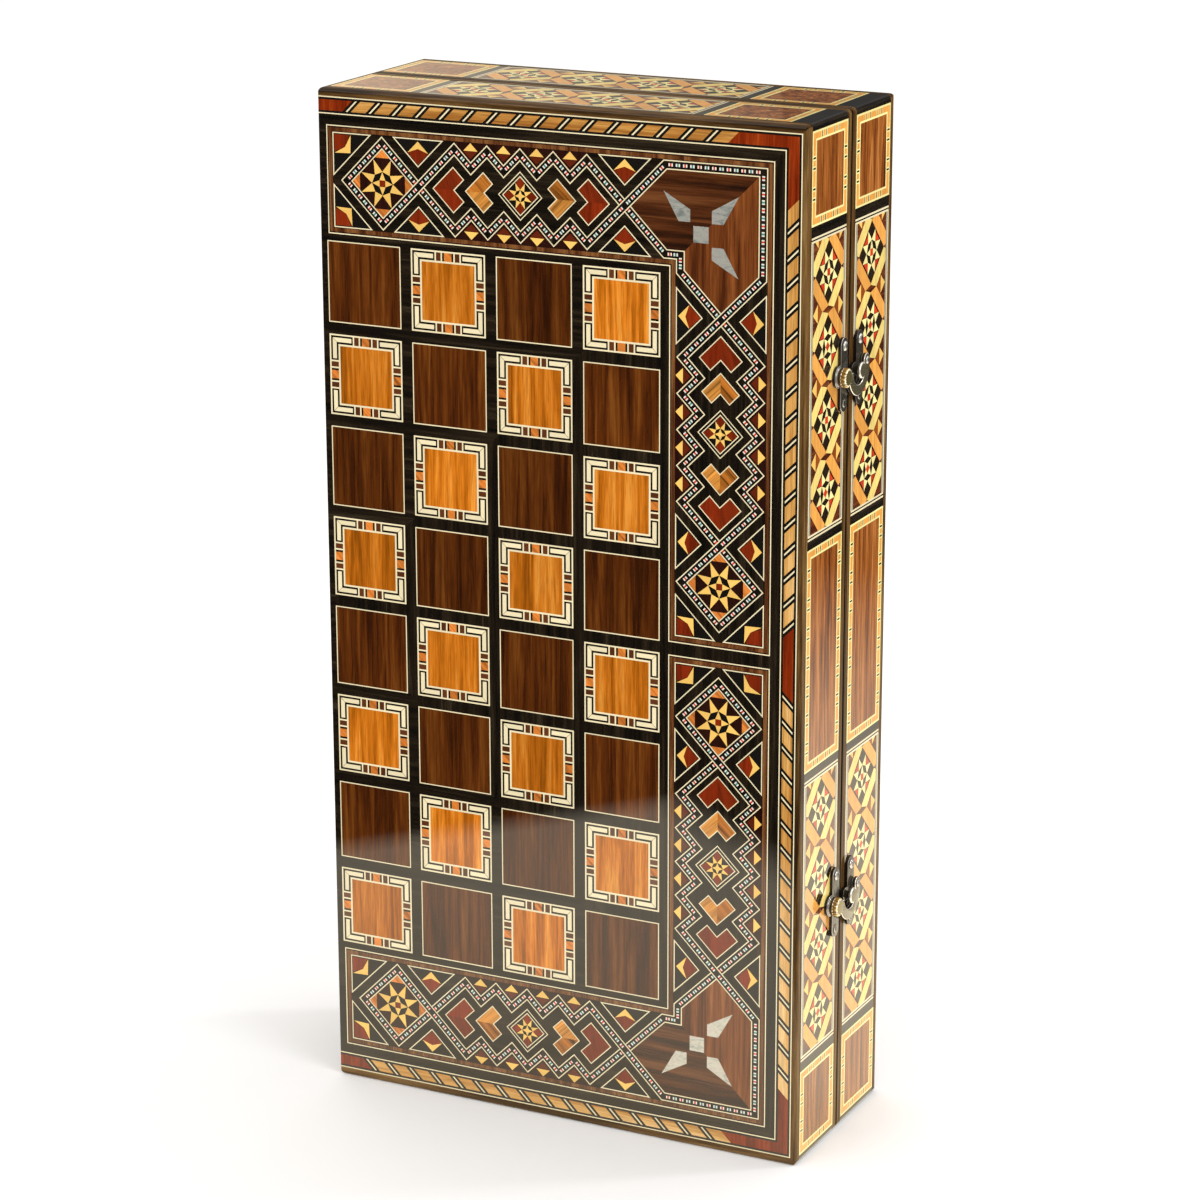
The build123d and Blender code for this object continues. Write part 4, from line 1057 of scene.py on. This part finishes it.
def make_latches():
    foot, face = RIGHT + PLATE, RIGHT + PLATE_CAST
    for tray, outwards in TRAYS.items():
        casting(f"{tray}_latch_plates", tray,
                lambda x, y, z: (face if abs(x - foot) < 0.01 else x, y, z), 0.9, PLATE_BRONZE)
        domes(f"{tray}_nail_domes", tray, [
            (face - SEATED, outwards * NAIL_OFFSET, height + side * NAIL_PITCH / 2, *dome)
            for height in LATCH_HEIGHTS for side, dome in ((1, UPPER_NAIL), (-1, LOWER_NAIL))])

    def post(x, y, z):
        height = min(LATCH_HEIGHTS, key=lambda h: abs(h - z))
        wider = POST_WIDER if dist((y, z), (POST_OFFSET, height)) > POST_STEM else 1.0
        return (foot + (x - foot) * (POST_THICKER if x > foot + POST_HEAD else 1.0),
                POST_OFFSET + (y - POST_OFFSET) * wider, height + (z - height) * wider)
    casting("latch_posts", "back_tray", post, 0.35, BRONZE)
    for part, height in zip(("lower", "upper"), LATCH_HEIGHTS):
        back, front = [corner.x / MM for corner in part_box(f"{part}_hook")]
        front = back + (front - back) * HOOK_CAST
        casting(f"{part}_hook", f"{part}_hook",
                lambda x, y, z: (back + (x - back) * HOOK_CAST, y, z), 0.6, BRONZE)
        domes(f"{part}_hook_pin", f"{part}_hook",
              [(front - SEATED, CURL[0], height + CURL[1], *CURL_PIN)])
        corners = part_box(f"{part}_knob")
        middle = (corners[0] + corners[1]) / 2 / MM

        def knurl(x, y, z):
            radius = dist((y, z), (middle.y, middle.z))
            deeper = KNURL if any(low < radius < high for low, high in GROOVES) else 1.0
            return x, middle.y + (y - middle.y) * deeper, middle.z + (z - middle.z) * deeper
        casting(f"{part}_knob", f"{part}_hook", knurl, 0.15, GOLD)


make_latches()

# ------ camera, light and floor
AZIMUTH, ELEVATION, ROLL = radians(26.592), radians(16.573), radians(-0.150)
DISTANCE = 1.7849
SENSOR, LENS = 36.0, 114.27  # in mm
TARGET = Vector((LEFT + 146.87, -OUTSIDE, 268.67)) * MM


def make_camera():
    back = Vector((sin(AZIMUTH) * cos(ELEVATION), -cos(AZIMUTH) * cos(ELEVATION), sin(ELEVATION)))
    right = Vector((cos(AZIMUTH), sin(AZIMUTH), 0))
    up = back.cross(right)
    axes = (cos(ROLL) * right + sin(ROLL) * up, -sin(ROLL) * right + cos(ROLL) * up, back)
    data = bpy.data.cameras.new("camera")
    data.sensor_width, data.lens = SENSOR, LENS
    camera = placed("camera", data)
    camera.matrix_world = (Matrix.Translation(TARGET + back * DISTANCE)
                           @ Matrix(axes).transposed().to_4x4())
    bpy.context.scene.camera = camera


def lamp(name, place, size, power, colour=(1, 1, 1), spread=180):
    """A square softbox that looks at the middle of the box."""
    data = bpy.data.lights.new(name, "AREA")
    data.size, data.energy, data.color, data.spread = size, power, colour, radians(spread)
    light = placed(name, data)
    towards = Vector((0, 0, HALF_HEIGHT * MM)) - Vector(place)
    light.location = place
    light.rotation_mode = "QUATERNION"
    light.rotation_quaternion = towards.to_track_quat("-Z", "Y")


# Painted reflection: to mirrored rays only, the floor is dark but for a pale, glowing sheet with
# a corner in front of the box, as in the photo. Each edge: the direction into the sheet, where
# the sheet is whole and where it is gone.
PAINTED_SHEET_EDGES = (((0.75, 0.66, 0), -0.425, -0.455), ((-0.57, 0.82, 0), -0.295, -0.335),
               ((0, -1, 0), -0.36, -0.92))
# Painted reflection: the sheet glows only to mirrored rays, though the floor is no lamp
PAINTED_SHEET_GLOW = (0.60, 0.42, 0.10, 1)  # how much brighter and warmer it is there than here
FLOOR_REACH = 12.0  # metres
# PALE is the floor; the dark is painted into the floor's reflection outside the sheet
PALE, PAINTED_REFLECTION_DARK, BLACK = (0.95, 0.95, 0.95, 1), (0.02, 0.02, 0.02, 1), (0, 0, 0, 1)
# The sky as the camera sees it, and its greys by height as everything else mirrors it
SKY_WHITE, SKY_GREYS = (1.06, 1.05, 1.03, 1), [(0.35, 0.08), (0.8, 1.2)]


def make_stage():
    mesh = bpy.data.meshes.new("floor")
    mesh.from_pydata([(*corner, 0) for corner in square(0, 0, FLOOR_REACH)], [], [(0, 1, 2, 3)])
    floor = placed("floor", mesh)
    matt = {"Roughness": 0.9, "Specular IOR Level": 0.0, "Emission Strength": 1.0}
    paper = principled("paper", matt)
    # Painted reflection: to mirrored rays, the floor is dark outside the sheet and glows inside
    # it
    mirrored = paper.add("LightPath", output="Is Glossy Ray")
    where, dark = paper.place(), 0.0
    for across, whole, gone in PAINTED_SHEET_EDGES:
        along = paper.add("VectorMath", {0: where, 1: across}, "Value", operation="DOT_PRODUCT")
        dark = paper.math("MAXIMUM", dark, paper.eased(along, whole, gone))
    painted_dark_share = paper.math("MULTIPLY", mirrored, dark)
    painted_glow_share = paper.math("MULTIPLY", mirrored, paper.math("SUBTRACT", 1.0, dark))
    material = paper.finish({"Base Color": paper.mix(painted_dark_share, PALE, PAINTED_REFLECTION_DARK),
                             "Emission Color": paper.mix(painted_glow_share, BLACK, PAINTED_SHEET_GLOW)})
    material.cycles.emission_sampling = "NONE"
    dress(mesh, material)
    sky = Nodes(bpy.data.worlds.new("studio"), "Background")
    height = sky.part(sky.add("TexCoord", output="Generated"), "Z")
    mirrored = sky.add("LightPath", output="Is Glossy Ray")
    bpy.context.scene.world = sky.finish({
        "Color": sky.mix(mirrored, SKY_WHITE, sky.ramp(height, SKY_GREYS))})
    lamp("key", (-1.2, -2.8, 1.5), 1.4, 12)
    lamp("side", (2.6, -1.0, 1.5), 1.2, 21)
    lamp("rim", (2.2, 1.5, 1.9), 0.35, 16)
    lamp("card", (-1.45, 1.6, 0.85), 1.6, 0.72, (1.0, 0.86, 0.66), 39)


make_camera()
make_stage()
bpy.context.scene.view_settings.view_transform = "Standard"
